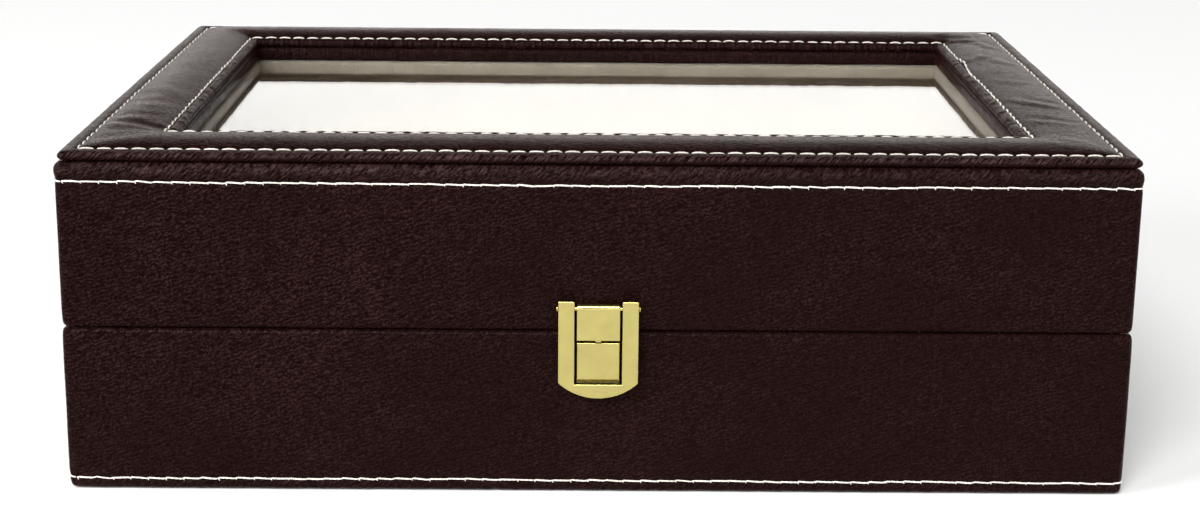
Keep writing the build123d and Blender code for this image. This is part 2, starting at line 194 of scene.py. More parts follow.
def grid_normals(P):
    """Unit normals of a grid of points; rows are open, columns wrap round."""
    du = np.zeros_like(P)
    du[1:-1] = P[2:] - P[:-2]
    du[0], du[-1] = P[1] - P[0], P[-1] - P[-2]
    dv = np.roll(P, -1, axis=1) - np.roll(P, 1, axis=1)
    n = np.cross(dv, du)
    ln = np.linalg.norm(n, axis=2, keepdims=True)
    return n / np.maximum(ln, 1e-9)


def shell_from_grid(name, P, thick, every=4):
    """Closed skin from an open grid (rows x stations, stations wrap): the grid, a coarser copy set inwards, two rims."""
    rows, cols = P.shape[:2]
    N = grid_normals(P)
    pick = sorted(set(list(range(0, rows, every)) + [rows - 1]))
    Q = P[pick] - N[pick] * thick
    verts = np.vstack([P.reshape(-1, 3), Q.reshape(-1, 3)])
    base = rows * cols
    f = [grid_faces(rows, cols, False, True), grid_faces(len(pick), cols, False, True, base)[:, ::-1]]
    c = np.arange(cols)
    c2 = (c + 1) % cols
    f.append(np.stack([c2, c, base + c, base + c2], -1))
    last, qlast = (rows - 1) * cols, base + (len(pick) - 1) * cols
    f.append(np.stack([last + c, last + c2, qlast + c2, qlast + c], -1))
    return new_object(name, verts, np.vstack(f)), verts, base


def fix_normals(ob):
    bm = bmesh.new()
    bm.from_mesh(ob.data)
    bmesh.ops.recalc_face_normals(bm, faces=bm.faces)
    bm.to_mesh(ob.data)
    bm.free()
    return ob


def gathers(ob, amount, along, across, apart, painted_highlight=None):
    """Where the leather is gathered by its seam, which way the gathers run, and where a highlight is painted on it."""
    n = len(ob.data.vertices)
    amt, co = np.zeros(n, np.float32), np.zeros((n, 3), np.float32)
    k = amount.size
    amt[:k] = amount.ravel()
    co[:k] = np.stack([along.ravel(), across.ravel(), apart.ravel()], -1)
    ob.data.attributes.new("gather", "FLOAT", "POINT").data.foreach_set("value", amt)
    ob.data.attributes.new("gather_co", "FLOAT_VECTOR", "POINT").data.foreach_set("vector", co.ravel())
    if painted_highlight is not None:
        w = np.zeros(n, np.float32)
        w[:k] = painted_highlight.ravel()
        ob.data.attributes.new("painted_highlight", "FLOAT", "POINT").data.foreach_set("value", w)


def rbox(name, lo, hi, r, step=6.0, wobble=0.0, seed=1):
    """Closed box with rounded edges, its faces divided about every step."""
    lo, hi = np.array(lo, float), np.array(hi, float)
    r = min(r, 0.49 * float((hi - lo).min()))
    axes = []
    for k in range(3):
        n = max(1, int(round((hi[k] - lo[k] - 2 * r) / step)))
        mid = np.linspace(lo[k] + r, hi[k] - r, n + 1)
        a = lo[k] + r * (1 - np.cos(np.radians([0, 30, 60])))
        axes.append(np.concatenate([[lo[k]], [lo[k] + r * 0.25, lo[k] + r * 0.6], mid,
                                    [hi[k] - r * 0.6, hi[k] - r * 0.25], [hi[k]]]))
    verts, index, faces = [], {}, []

    def vid(i, j, k):
        key = (i, j, k)
        if key not in index:
            index[key] = len(verts)
            verts.append((axes[0][i], axes[1][j], axes[2][k]))
        return index[key]

    n = [len(a) for a in axes]
    for i in range(n[0] - 1):
        for j in range(n[1] - 1):
            faces.append((vid(i, j, 0), vid(i, j + 1, 0), vid(i + 1, j + 1, 0), vid(i + 1, j, 0)))
            k = n[2] - 1
            faces.append((vid(i, j, k), vid(i + 1, j, k), vid(i + 1, j + 1, k), vid(i, j + 1, k)))
    for i in range(n[0] - 1):
        for k in range(n[2] - 1):
            faces.append((vid(i, 0, k), vid(i + 1, 0, k), vid(i + 1, 0, k + 1), vid(i, 0, k + 1)))
            j = n[1] - 1
            faces.append((vid(i, j, k), vid(i, j, k + 1), vid(i + 1, j, k + 1), vid(i + 1, j, k)))
    for j in range(n[1] - 1):
        for k in range(n[2] - 1):
            faces.append((vid(0, j, k), vid(0, j, k + 1), vid(0, j + 1, k + 1), vid(0, j + 1, k)))
            i = n[0] - 1
            faces.append((vid(i, j, k), vid(i, j + 1, k), vid(i, j + 1, k + 1), vid(i, j, k + 1)))
    v = np.array(verts)
    core = np.clip(v, lo + r, hi - r)
    d = v - core
    ln = np.linalg.norm(d, axis=1, keepdims=True)
    v = core + d / np.maximum(ln, 1e-9) * r
    if wobble:
        nrm = d / np.maximum(ln, 1e-9)
        v = v - nrm * wobble * (0.5 + 0.5 * vnoise(v[:, 0] / 18, v[:, 1] / 18, v[:, 2] / 18, seed))[:, None]
    return new_object(name, v, faces)


# ------------------------------------------------------------------ materials
def material(name):
    mt = bpy.data.materials.new(name)
    mt.use_nodes = True
    nt = mt.node_tree
    nt.nodes.clear()
    out = nt.nodes.new("ShaderNodeOutputMaterial")
    b = nt.nodes.new("ShaderNodeBsdfPrincipled")
    nt.links.new(b.outputs[0], out.inputs[0])
    return mt, nt, b


def node(nt, kind, **kw):
    n = nt.nodes.new(kind)
    for k, v in kw.items():
        if k.startswith("in_"):
            n.inputs[k[3:].replace("_", " ")].default_value = v
        else:
            setattr(n, k, v)
    return n


def coords(nt, scale=(1000, 1000, 1000)):
    """Object coordinates in mm."""
    tc = nt.nodes.new("ShaderNodeTexCoord")
    mp = nt.nodes.new("ShaderNodeMapping")
    mp.inputs["Scale"].default_value = scale
    nt.links.new(tc.outputs["Object"], mp.inputs["Vector"])
    return mp.outputs[0]


def ramp(nt, src, stops):
    r = nt.nodes.new("ShaderNodeValToRGB")
    while len(r.color_ramp.elements) < len(stops):
        r.color_ramp.elements.new(0.5)
    for e, (p, c) in zip(r.color_ramp.elements, stops):
        e.position = p
        e.color = (*c, 1.0) if len(c) == 3 else c
    nt.links.new(src, r.inputs[0])
    return r.outputs[0]


def maprange(nt, src, a, b, c, d):
    n = nt.nodes.new("ShaderNodeMapRange")
    for k, v in (("From Min", a), ("From Max", b), ("To Min", c), ("To Max", d)):
        n.inputs[k].default_value = v
    nt.links.new(src, n.inputs["Value"])
    return n.outputs[0]


def mathn(nt, op, a, b=None):
    n = nt.nodes.new("ShaderNodeMath")
    n.operation = op
    for i, v in enumerate((a, b)):
        if v is None:
            continue
        if isinstance(v, (int, float)):
            n.inputs[i].default_value = v
        else:
            nt.links.new(v, n.inputs[i])
    return n.outputs[0]


def make_leather(name, dark, light, rough=(0.30, 0.42), relief=0.20, ior=1.14, sheen=0.10):
    mt, nt, b = material(name)
    L = nt.links
    v = coords(nt)
    warp = node(nt, "ShaderNodeTexNoise", in_Scale=0.34, in_Detail=3.0, in_Roughness=0.6)
    L.new(v, warp.inputs["Vector"])
    mixv = nt.nodes.new("ShaderNodeVectorMath")
    mixv.operation = "MULTIPLY_ADD"
    L.new(warp.outputs["Color"], mixv.inputs[0])
    mixv.inputs[1].default_value = (3.2, 3.2, 3.2)
    L.new(v, mixv.inputs[2])
    # slanted little folds, about one millimetre apart
    slant = nt.nodes.new("ShaderNodeMapping")
    slant.vector_type = "TEXTURE"
    slant.inputs["Rotation"].default_value = (0.0, -0.55, 0.30)
    slant.inputs["Scale"].default_value = (0.72, 0.38, 0.36)
    L.new(mixv.outputs[0], slant.inputs["Vector"])
    folds = node(nt, "ShaderNodeTexNoise", in_Scale=1.0, in_Detail=0.6, in_Roughness=0.45, in_Distortion=0.4)
    L.new(slant.outputs[0], folds.inputs["Vector"])
    # ordered in wavy rows
    turned = nt.nodes.new("ShaderNodeMapping")
    turned.vector_type = "TEXTURE"
    turned.inputs["Rotation"].default_value = (0.72, -0.30, 0.0)
    wavy = nt.nodes.new("ShaderNodeVectorMath")
    wavy.operation = "MULTIPLY_ADD"
    L.new(warp.outputs["Color"], wavy.inputs[0])
    wavy.inputs[1].default_value = (1.9, 1.9, 1.9)
    L.new(v, wavy.inputs[2])
    L.new(wavy.outputs[0], turned.inputs["Vector"])
    rows = node(nt, "ShaderNodeTexWave", bands_direction="Z", in_Scale=0.36, in_Distortion=6.0, in_Detail=1.5,
                in_Detail_Scale=1.6, in_Detail_Roughness=0.5)
    L.new(turned.outputs[0], rows.inputs["Vector"])
    # pebbles between them, with soft creases round each
    peb = nt.nodes.new("ShaderNodeMapping")
    peb.vector_type = "TEXTURE"
    peb.inputs["Rotation"].default_value = (0.0, -0.55, 0.30)
    peb.inputs["Scale"].default_value = (1.00, 0.78, 0.72)
    L.new(mixv.outputs[0], peb.inputs["Vector"])
    cell2 = node(nt, "ShaderNodeTexVoronoi", feature="SMOOTH_F1", in_Scale=1.0, in_Smoothness=0.25)
    L.new(peb.outputs[0], cell2.inputs["Vector"])
    # longer creases that wander over the pebbles
    stretch = nt.nodes.new("ShaderNodeMapping")
    stretch.inputs["Rotation"].default_value = (0.3, 0.5, 0.6)
    stretch.inputs["Scale"].default_value = (0.40, 1.3, 0.75)
    L.new(mixv.outputs[0], stretch.inputs["Vector"])
    fold = node(nt, "ShaderNodeTexNoise", in_Scale=0.55, in_Detail=3.0, in_Roughness=0.55)
    L.new(stretch.outputs[0], fold.inputs["Vector"])
    pores = node(nt, "ShaderNodeTexNoise", in_Scale=4.5, in_Detail=2.0)
    L.new(v, pores.inputs["Vector"])
    # gathers that run across the sewn edges
    gco = node(nt, "ShaderNodeAttribute", attribute_name="gather_co")
    gn = node(nt, "ShaderNodeTexNoise", in_Scale=1.0, in_Detail=1.0, in_Roughness=0.45, in_Distortion=0.25)
    L.new(gco.outputs["Vector"], gn.inputs["Vector"])
    gat = node(nt, "ShaderNodeAttribute", attribute_name="gather")
    # the grain, 0 in the creases and 1 on the tops
    g = mathn(nt, "ADD", mathn(nt, "MULTIPLY", folds.outputs["Fac"], 1.3),
              mathn(nt, "MULTIPLY", cell2.outputs["Distance"], -1.0))
    g = mathn(nt, "ADD", g, mathn(nt, "MULTIPLY", rows.outputs["Fac"], 0.55))
    g = mathn(nt, "ADD", g, mathn(nt, "MULTIPLY", fold.outputs["Fac"], 0.5))
    grain = maprange(nt, g, 0.28, 1.22, 0.0, 1.0)
    gath = maprange(nt, gn.outputs["Fac"], 0.30, 0.70, 0.0, 1.0)
    gmix = nt.nodes.new("ShaderNodeMix")
    L.new(mathn(nt, "MULTIPLY", gat.outputs["Fac"], 0.75), gmix.inputs["Factor"])
    L.new(grain, gmix.inputs[2])
    L.new(gath, gmix.inputs[3])
    tops = gmix.outputs[0]
    h = mathn(nt, "ADD", mathn(nt, "MULTIPLY", tops, mathn(nt, "ADD", mathn(nt, "MULTIPLY", gat.outputs["Fac"], 5.5), 1.0)),
              mathn(nt, "MULTIPLY", pores.outputs["Fac"], 0.10))
    h = mathn(nt, "ADD", h, mathn(nt, "MULTIPLY", fold.outputs["Fac"], 0.8))
    bump = nt.nodes.new("ShaderNodeBump")
    bump.inputs["Strength"].default_value = 1.0
    bump.inputs["Distance"].default_value = relief * MM
    L.new(h, bump.inputs["Height"])
    L.new(bump.outputs[0], b.inputs["Normal"])
    # colour: the grain's own tone, with painted shade darkening the creases and a painted highlight lightening the
    # tops, and a slow cloudy drift
    cloud = node(nt, "ShaderNodeTexNoise", in_Scale=0.035, in_Detail=4.0, in_Roughness=0.55)
    L.new(v, cloud.inputs["Vector"])
    # the grain's colour contrast varies: stronger towards the left, a painted sidelight from the left lamp, weaker near
    # the bottom, in random patches, and strongest where the leather is gathered
    place = nt.nodes.new("ShaderNodeSeparateXYZ")
    L.new(v, place.inputs[0])
    show = mathn(nt, "ADD", maprange(nt, cloud.outputs["Fac"], 0.38, 0.64, 0.10, 0.34),
                 maprange(nt, place.outputs["X"], -140, 40, 0.56, 0.20))
    show = mathn(nt, "MULTIPLY", show, maprange(nt, place.outputs["Z"], 10, 52, 0.62, 1.0))
    show = mathn(nt, "ADD", show, mathn(nt, "MULTIPLY", gat.outputs["Fac"], 0.5))
    quiet = mathn(nt, "ADD", mathn(nt, "MULTIPLY", mathn(nt, "SUBTRACT", tops, 0.5), show), 0.5)
    mix = mathn(nt, "ADD", mathn(nt, "MULTIPLY", quiet, 0.85), mathn(nt, "MULTIPLY", cloud.outputs["Fac"], 0.30))
    mid = tuple(0.75 * p + 0.25 * q for p, q in zip(dark, light))
    col = ramp(nt, mix, [(0.15, dark), (0.62, mid), (1.0, light)])
    # painted highlight: lighter on the lit rounds of the seams where the highlight attribute is set, most on the grain
    # tops
    highlight_attr = node(nt, "ShaderNodeAttribute", attribute_name="painted_highlight")
    highlight_mix = nt.nodes.new("ShaderNodeMix")
    highlight_mix.data_type = "RGBA"
    L.new(mathn(nt, "MULTIPLY", highlight_attr.outputs["Fac"], maprange(nt, tops, 0.25, 1.0, 0.0, 1.0)), highlight_mix.inputs["Factor"])
    L.new(col, highlight_mix.inputs[6])
    highlight_mix.inputs[7].default_value = (0.110, 0.068, 0.066, 1)
    L.new(highlight_mix.outputs[2], b.inputs["Base Color"])
    rv = mathn(nt, "ADD", mathn(nt, "MULTIPLY", cloud.outputs["Fac"], 0.5),
               mathn(nt, "MULTIPLY", pores.outputs["Fac"], 0.5))
    L.new(maprange(nt, rv, 0.3, 0.7, rough[0], rough[1]), b.inputs["Roughness"])
    L.new(maprange(nt, tops, 0.0, 1.0, 0.10, 0.90), b.inputs["Specular IOR Level"])
    b.inputs["IOR"].default_value = ior
    b.inputs["Sheen Weight"].default_value = sheen
    b.inputs["Sheen Roughness"].default_value = 0.35
    b.inputs["Sheen Tint"].default_value = (0.90, 0.20, 0.16, 1)
    return mt


def make_gold(name):
    mt, nt, b = material(name)
    L = nt.links
    v = coords(nt)
    b.inputs["Metallic"].default_value = 1.0
    n1 = node(nt, "ShaderNodeTexNoise", in_Scale=0.22, in_Detail=3.0)
    L.new(v, n1.inputs["Vector"])
    fine = node(nt, "ShaderNodeTexNoise", in_Scale=9.0, in_Detail=2.0)
    L.new(v, fine.inputs["Vector"])
    st = nt.nodes.new("ShaderNodeMapping")
    st.inputs["Scale"].default_value = (7.0, 7.0, 0.25)
    L.new(v, st.inputs["Vector"])
    lines = node(nt, "ShaderNodeTexNoise", in_Scale=1.0, in_Detail=3.0)
    L.new(st.outputs[0], lines.inputs["Vector"])
    L.new(ramp(nt, n1.outputs["Fac"], [(0.3, (0.53, 0.45, 0.158)), (0.7, (0.60, 0.515, 0.182))]),
          b.inputs["Base Color"])
    L.new(maprange(nt, lines.outputs["Fac"], 0.3, 0.7, 0.09, 0.17), b.inputs["Roughness"])
    # the stamped edges are rounded
    round_ = node(nt, "ShaderNodeBevel", samples=6)
    round_.inputs["Radius"].default_value = 0.00026
    bump = nt.nodes.new("ShaderNodeBump")
    bump.inputs["Strength"].default_value = 0.10
    bump.inputs["Distance"].default_value = 0.00003
    L.new(round_.outputs[0], bump.inputs["Normal"])
    L.new(mathn(nt, "ADD", fine.outputs["Fac"], lines.outputs["Fac"]), bump.inputs["Height"])
    L.new(bump.outputs[0], b.inputs["Normal"])
    return mt


def make_cloth(name, dark, light, sheen=0.4, scale=2.6, bump_mm=0.06, rough=0.9, nap=1.0):
    """Short pile: fine fibres, softly brushed patches."""
    mt, nt, b = material(name)
    L = nt.links
    v = coords(nt)
    fib = node(nt, "ShaderNodeTexNoise", in_Scale=scale, in_Detail=4.0, in_Roughness=0.7)
    L.new(v, fib.inputs["Vector"])
    napn = node(nt, "ShaderNodeTexNoise", in_Scale=0.06 * nap, in_Detail=3.0, in_Roughness=0.6)
    L.new(v, napn.inputs["Vector"])
    mix = mathn(nt, "ADD", mathn(nt, "MULTIPLY", fib.outputs["Fac"], 0.6),
                mathn(nt, "MULTIPLY", napn.outputs["Fac"], 0.6))
    L.new(ramp(nt, mix, [(0.40, dark), (0.82, light)]), b.inputs["Base Color"])
    b.inputs["Roughness"].default_value = rough
    b.inputs["Sheen Weight"].default_value = sheen
    b.inputs["Sheen Roughness"].default_value = 0.4
    b.inputs["Specular IOR Level"].default_value = 0.2
    bump = nt.nodes.new("ShaderNodeBump")
    bump.inputs["Strength"].default_value = 0.6
    bump.inputs["Distance"].default_value = bump_mm * MM
    L.new(fib.outputs["Fac"], bump.inputs["Height"])
    L.new(bump.outputs[0], b.inputs["Normal"])
    return mt


def make_thread(name):
    mt, nt, b = material(name)
    L = nt.links
    v = coords(nt)
    fib = node(nt, "ShaderNodeTexNoise", in_Scale=6.0, in_Detail=3.0)
    L.new(v, fib.inputs["Vector"])
    slow = node(nt, "ShaderNodeTexNoise", in_Scale=0.12, in_Detail=2.0)
    L.new(v, slow.inputs["Vector"])
    mix = mathn(nt, "ADD", mathn(nt, "MULTIPLY", fib.outputs["Fac"], 0.5),
                mathn(nt, "MULTIPLY", slow.outputs["Fac"], 0.5))
    L.new(ramp(nt, mix, [(0.35, (0.66, 0.60, 0.52)), (0.62, (0.86, 0.82, 0.75))]), b.inputs["Base Color"])
    b.inputs["Roughness"].default_value = 0.6
    b.inputs["Sheen Weight"].default_value = 0.2
    bump = nt.nodes.new("ShaderNodeBump")
    bump.inputs["Strength"].default_value = 0.5
    bump.inputs["Distance"].default_value = 0.00004
    L.new(fib.outputs["Fac"], bump.inputs["Height"])
    L.new(bump.outputs[0], b.inputs["Normal"])
    return mt


def make_board(name):
    mt, nt, b = material(name)
    L = nt.links
    v = coords(nt)
    sp = node(nt, "ShaderNodeTexNoise", in_Scale=1.3, in_Detail=6.0, in_Roughness=0.8)
    L.new(v, sp.inputs["Vector"])
    L.new(ramp(nt, sp.outputs["Fac"], [(0.35, (0.22, 0.14, 0.08)), (0.7, (0.46, 0.33, 0.20))]), b.inputs["Base Color"])
    b.inputs["Roughness"].default_value = 0.85
    bump = nt.nodes.new("ShaderNodeBump")
    bump.inputs["Strength"].default_value = 0.4
    bump.inputs["Distance"].default_value = 0.0001
    L.new(sp.outputs["Fac"], bump.inputs["Height"])
    L.new(bump.outputs[0], b.inputs["Normal"])
    return mt


def make_glass(name):
    mt, nt, b = material(name)
    L = nt.links
    v = coords(nt)
    smear = node(nt, "ShaderNodeTexNoise", in_Scale=0.02, in_Detail=4.0)
    L.new(v, smear.inputs["Vector"])
    L.new(maprange(nt, smear.outputs["Fac"], 0.5, 0.8, 0.0, 0.015), b.inputs["Roughness"])
    b.inputs["Base Color"].default_value = (0.97, 0.985, 0.98, 1)
    b.inputs["Transmission Weight"].default_value = 1.0
    b.inputs["IOR"].default_value = 1.52
    # lamps reach what is behind the pane
    out = [n for n in nt.nodes if n.type == "OUTPUT_MATERIAL"][0]
    path = nt.nodes.new("ShaderNodeLightPath")
    clear = nt.nodes.new("ShaderNodeBsdfTransparent")
    clear.inputs[0].default_value = (0.76, 0.785, 0.775, 1)
    ms = nt.nodes.new("ShaderNodeMixShader")
    L.new(path.outputs["Is Shadow Ray"], ms.inputs[0])
    L.new(b.outputs[0], ms.inputs[1])
    L.new(clear.outputs[0], ms.inputs[2])
    L.new(ms.outputs[0], out.inputs[0])
    return mt


# the dark and light ends span the leather's grain tone plus painted shade in the creases and painted highlights on the
# tops
LEATHER = make_leather("leather", (0.0036, 0.0010, 0.0009), (0.0290, 0.0115, 0.0106), rough=(0.20, 0.30), relief=0.050, ior=1.10, sheen=0.03)
GOLD = make_gold("gold_plate")
VELVET = make_cloth("velvet", (0.30, 0.245, 0.19), (0.46, 0.39, 0.32), sheen=0.30)
SUEDE = make_cloth("suede", (0.56, 0.50, 0.40), (0.80, 0.74, 0.63), sheen=0.25, scale=3.4, bump_mm=0.05)
FELT = make_cloth("felt", (0.010, 0.009, 0.008), (0.035, 0.031, 0.028), sheen=0.2, scale=1.8, bump_mm=0.12)
FOAM = make_cloth("foam", (0.66, 0.62, 0.50), (0.84, 0.80, 0.68), sheen=0.0, scale=1.6, bump_mm=0.2)
THREAD = make_thread("thread")
BOARD = make_board("fibreboard")
GLASS = make_glass("window_glass")
BY_SLOT = {"leather": LEATHER, "gold": GOLD, "velvet": VELVET, "pillow_suede": SUEDE, "felt": FELT,
           "foam": FOAM, "thread": THREAD, "fibreboard": BOARD, "glass": GLASS}
slot_of = {s["node"]: s["material_slot"] for s in frame["record"]["subparts"]}
for name, ob in nodes.items():
    ob.data.materials.clear()
    ob.data.materials.append(BY_SLOT[slot_of[name]])


def finish_piece(ob, body, slot_name, replaced=()):
    ob.data.materials.clear()
    ob.data.materials.append(BY_SLOT[slot_name])
    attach(ob, body)
    if replaced:
        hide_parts(*replaced)
    return ob


# ------------------------------------------------------------------ padded window frame on top
def side_along(x, y):
    """Distance along the nearest side, and a number for the side."""
    dx, dy = HX - np.abs(x), HY - np.abs(y)
    lr = dx < dy
    return np.where(lr, y, x), np.where(lr, np.where(x > 0, 1, 3), np.where(y > 0, 2, 0))


def holes(a, phase=0.0):
    """1 at each needle hole, 0 between."""
    t = np.abs(((a - phase) / PITCH) % 1.0 - 0.5) * 2.0
    return np.clip((t - 0.72) / 0.28, 0, 1) ** 2


def crease(x, y, x0, y0, x1, y1, w, amp, bow=0.0):
    """A soft fold along a bowed line, raised on one side and sunk on the other."""
    dx, dy = x1 - x0, y1 - y0
    ln = math.hypot(dx, dy)
    s = ((x - x0) * dx + (y - y0) * dy) / ln
    d = ((x - x0) * dy - (y - y0) * dx) / ln - bow * (1 - (2 * s / ln - 1) ** 2)
    win = sstep(-0.15 * ln, 0.2 * ln, s) * (1 - sstep(0.75 * ln, 1.15 * ln, s))
    q = d / w
    return amp * win * (np.exp(-q * q) - 0.75 * np.exp(-(q - 1.7) ** 2) - 0.35 * np.exp(-(q + 1.8) ** 2))


CREASES = [
    # left band, towards the front corner: one deep fold from the inner corner, soft ones behind it
    (-142, -64, -123, -73, 2.0, -0.30, 1.6), (-144, -57, -128, -60, 2.4, -0.12, 0.8),
    (-143, -80, -126, -79, 2.6, 0.10, 1.0), (-144, -38, -128, -44, 3.0, -0.12, 1.2),
    (-144, -22, -130, -30, 3.4, 0.10, -1.2), (-132, 84, -122, 78, 2.4, 0.09, -1.0),
    # right band: bowed folds that end at the inner row
    (119, 77, 136, 76, 2.2, 0.17, 1.4), (135, 77, 143, 60, 2.2, 0.15, 1.2), (124, 82, 134, 93, 2.2, 0.10, -1.2),
    (121, 37, 134, 47, 2.4, 0.12, 1.0), (133, 48, 143, 30, 2.4, 0.11, 1.6),
    (128, -22, 142, -38, 2.6, 0.15, 2.0), (132, -24, 143, -31, 2.6, -0.12, 0.8), (128, -50, 142, -57, 2.4, -0.14, 1.0),
    (127, 8, 142, 0, 3.0, 0.07, 1.6), (126, -74, 140, -84, 2.4, 0.07, 1.0),
    # front and back bands
    (-96, -95, -90, -77, 5.0, 0.05, 1.0), (-30, -94, -36, -77, 6.0, 0.05, 1.0), (44, -95, 38, -77, 6.0, 0.05, -1.0),
    (-60, 94, -52, 77, 6.0, 0.05, 1.0), (20, 95, 26, 77, 6.0, 0.05, 1.0), (86, 94, 80, 77, 5.0, 0.05, -1.0),
]


def row_drift(x, y):
    """How far the inner stitch row strays outwards on the right side."""
    on = (x > 0) & (HX - np.abs(x) < HY - np.abs(y) + 1.0)
    return np.where(on, 0.6 * np.exp(-((y - 36) / 7) ** 2) - 0.8 * np.exp(-((y - 18) / 7) ** 2), 0.0)


def left_inset(x, y):
    """The left edge of the panel is sewn a little short, more so towards the back."""
    return (0.6 + 0.7 * ((y + 100) / 200) ** 2) * sstep(128, 143, -x)


def pad_height(x, y):
    """Crown of the padding between the two stitch rows, 0 outside them."""
    dx, dy = HX - np.abs(x), HY - np.abs(y)
    k = 4.0
    hmin = np.clip(0.5 + 0.5 * (dy - dx) / k, 0, 1)
    co = dy * (1 - hmin) + dx * hmin - k * hmin * (1 - hmin)
    do = np.maximum(co - OUTER_ROW, 0)
    wx, wy = HX - INNER_ROW, HY - INNER_ROW
    di = np.hypot(np.maximum(np.abs(x) - wx, 0), np.maximum(np.abs(y) - wy, 0))
    t = do / np.maximum(do + di, 1e-6)
    d = np.minimum(do, di)
    full = 0.80 + 0.30 * sstep(0, 60, HX - np.abs(x))
    # the left band is slack near its front corner and fuller behind
    full = full + sstep(118, 124, -x) * (1.40 * sstep(-94, -44, y) - 0.25 - 0.60 * sstep(0, 90, y))
    # the front and back bands are a little fuller than the side bands
    w = sstep(-9, 9, dx - dy)
    crown = ((1 - w) * full + w * np.where(y > 0, 1.62, 1.22)) * (1 - (2 * t - 1) ** 2)
    return crown * (d > 0) + 0.22 * (1 - np.exp(-d / 0.7)), do, di


def top_fields(x, y, c):
    """Small relief of the top leather, in mm along its normal."""
    a, side = side_along(x, y)
    h, do, di = pad_height(x, y)
    inside = (1 - np.exp(-do / 1.5)) * (1 - np.exp(-di / 1.5))
    lumpy = 0.55 + 0.65 * sstep(0, 25, -x - 100) * sstep(5, 30, -y) + 0.25 * sstep(100, 125, x)
    f = inside * lumpy * (0.11 * vnoise(x / 24, y / 24, seed=3) + 0.07 * vnoise(x / 10, y / 10, seed=4)
                          + 0.02 * vnoise(x / 3.6, y / 3.6, seed=5))
    for cr in CREASES:
        f = f + inside * crease(x, y, *cr)
    for row, depth in ((OUTER_ROW, 0.30), (INNER_ROW, 0.30)):
        d = np.abs(c - row + (row_drift(x, y) if row == INNER_ROW else 0.0))
        f = f - depth * np.exp(-(d / 0.62) ** 2) - 0.26 * holes(a) * np.exp(-(d / 0.6) ** 2)
    f = f - 0.28 * np.exp(-((c - OUTER_ROW + 0.6) / 0.42) ** 2)
    # puckers: across the strip inside the inner row, and over the outer bead
    strip = sstep(INNER_ROW + 0.3, INNER_ROW + 1.0, c)
    p1 = vnoise(a / 1.15, side * 7.0, c / 3.5, seed=11) * 0.75 + vnoise(a / 3.4, side * 5.0, c / 5.0, seed=12) * 0.6
    f = f + strip * (0.17 * p1)
    bead = 1 - sstep(OUTER_ROW - 1.6, OUTER_ROW - 0.5, c)
    p2 = vnoise(a / 2.4, side * 9.0, c / 6.0, seed=14) * 0.6 + 0.35 * (1 - holes(a))
    f = f + bead * 0.08 * p2
    return f


TOP_PROFILE = [(17.0, 96.26, 5.0), (6.0, 96.26, 2.0), (2.2, 96.27, 0.6), (1.1, 96.36, 0.35), (0.38, 96.72, 0.35),
               (0.02, 97.25, 0.35), (0.12, 97.85, 0.35), (0.52, 98.34, 0.35), (1.2, 98.68, 0.35), (2.1, 98.88, 0.4),
               (3.1, 98.96, 0.35), (4.0, 98.90, 0.3), (4.9, 98.80, 0.3), (5.8, 98.80, 0.4), (7.0, 98.80, 0.9),
               (10.0, 98.80, 1.0), (14.0, 98.80, 1.0), (18.0, 98.80, 1.0), (21.5, 98.80, 0.8), (23.6, 98.80, 0.4),
               (24.6, 98.76, 0.32), (25.3, 98.72, 0.3), (26.2, 98.94, 0.33), (27.2, 98.93, 0.33), (27.95, 98.58, 0.33),
               (28.38, 97.98, 0.35), (28.5, 97.35, 0.4), (28.32, 96.82, 0.4), (27.85, 96.45, 0.45), (27.1, 96.30, 1.0),
               (25.5, 96.26, 4.0), (17.0, 96.26, 4.0)]


def build_top():
    prof = catmull(TOP_PROFILE, 0.62)
    ring = Ring(HX, HY, 0.82)
    rows = []
    for c, z in prof:
        rr = max(2.0 - c, 0.12)
        x, y, nx, ny = ring.xy(HX - c, HY - c, rr)
        h = pad_height(x, y)[0] if (z > 98.5 and OUTER_ROW < c < INNER_ROW) else 0.0
        rows.append(np.stack([x, y, z + h + 0 * x], -1))
    P = np.array(rows)
    N = grid_normals(P)
    C = prof[:, 0][:, None] + 0 * P[:, :, 0]
    F = top_fields(P[:, :, 0], P[:, :, 1], C)
    under = (prof[:, 1] < 96.32)[:, None] & (C > 1.2) & (C < 27.2)
    F = np.where(under, 0.0, F)
    a, side = side_along(P[:, :, 0], P[:, :, 1])
    P = P + N * F[:, :, None] * np.where(N[len(N) // 2, 0, 2] > 0, 1.0, -1.0)
    P[:, :, 0] += left_inset(P[:, :, 0], P[:, :, 1])
    ob, _, _ = shell_from_grid("window_panel_leather", P, 0.45 * (1 if N[len(N) // 2, 0, 2] > 0 else -1), every=5)
    fix_normals(ob)
    bead = 1 - sstep(OUTER_ROW - 1.3, OUTER_ROW - 0.4, C)
    strip = sstep(INNER_ROW + 0.2, INNER_ROW + 0.8, C)
    run = np.concatenate([[0], np.cumsum(np.hypot(*np.diff(prof, axis=0).T))])[:, None]
    # the last argument paints a highlight on the upper round of the outer bead
    gathers(ob, bead * 0.9 + strip * 1.0, (a - np.where(C < 15, 0.8 * run, 0.0)) * np.where(C < 15, 1.6, 0.8),
            np.where(C < 15, 0.35 * run, 0.25 * C), side * 37.0,
            0.42 * sstep(97.1, 98.1, P[:, :, 2]) * (1 - sstep(1.8, 3.6, C)))
    return ob, P, prof


top_ob, topP, topprof = build_top()
finish_piece(top_ob, "lid", "leather", ["lid_top_leather"])


def top_surface(x, y, c):
    """Height of the top leather at a point on it."""
    z = np.interp(c, [3.6, 4.9, 23.6, 25.3, 26.2], [98.93, 98.80, 98.80, 98.72, 98.94])
    return z + pad_height(x, y)[0] + top_fields(x, y, c)


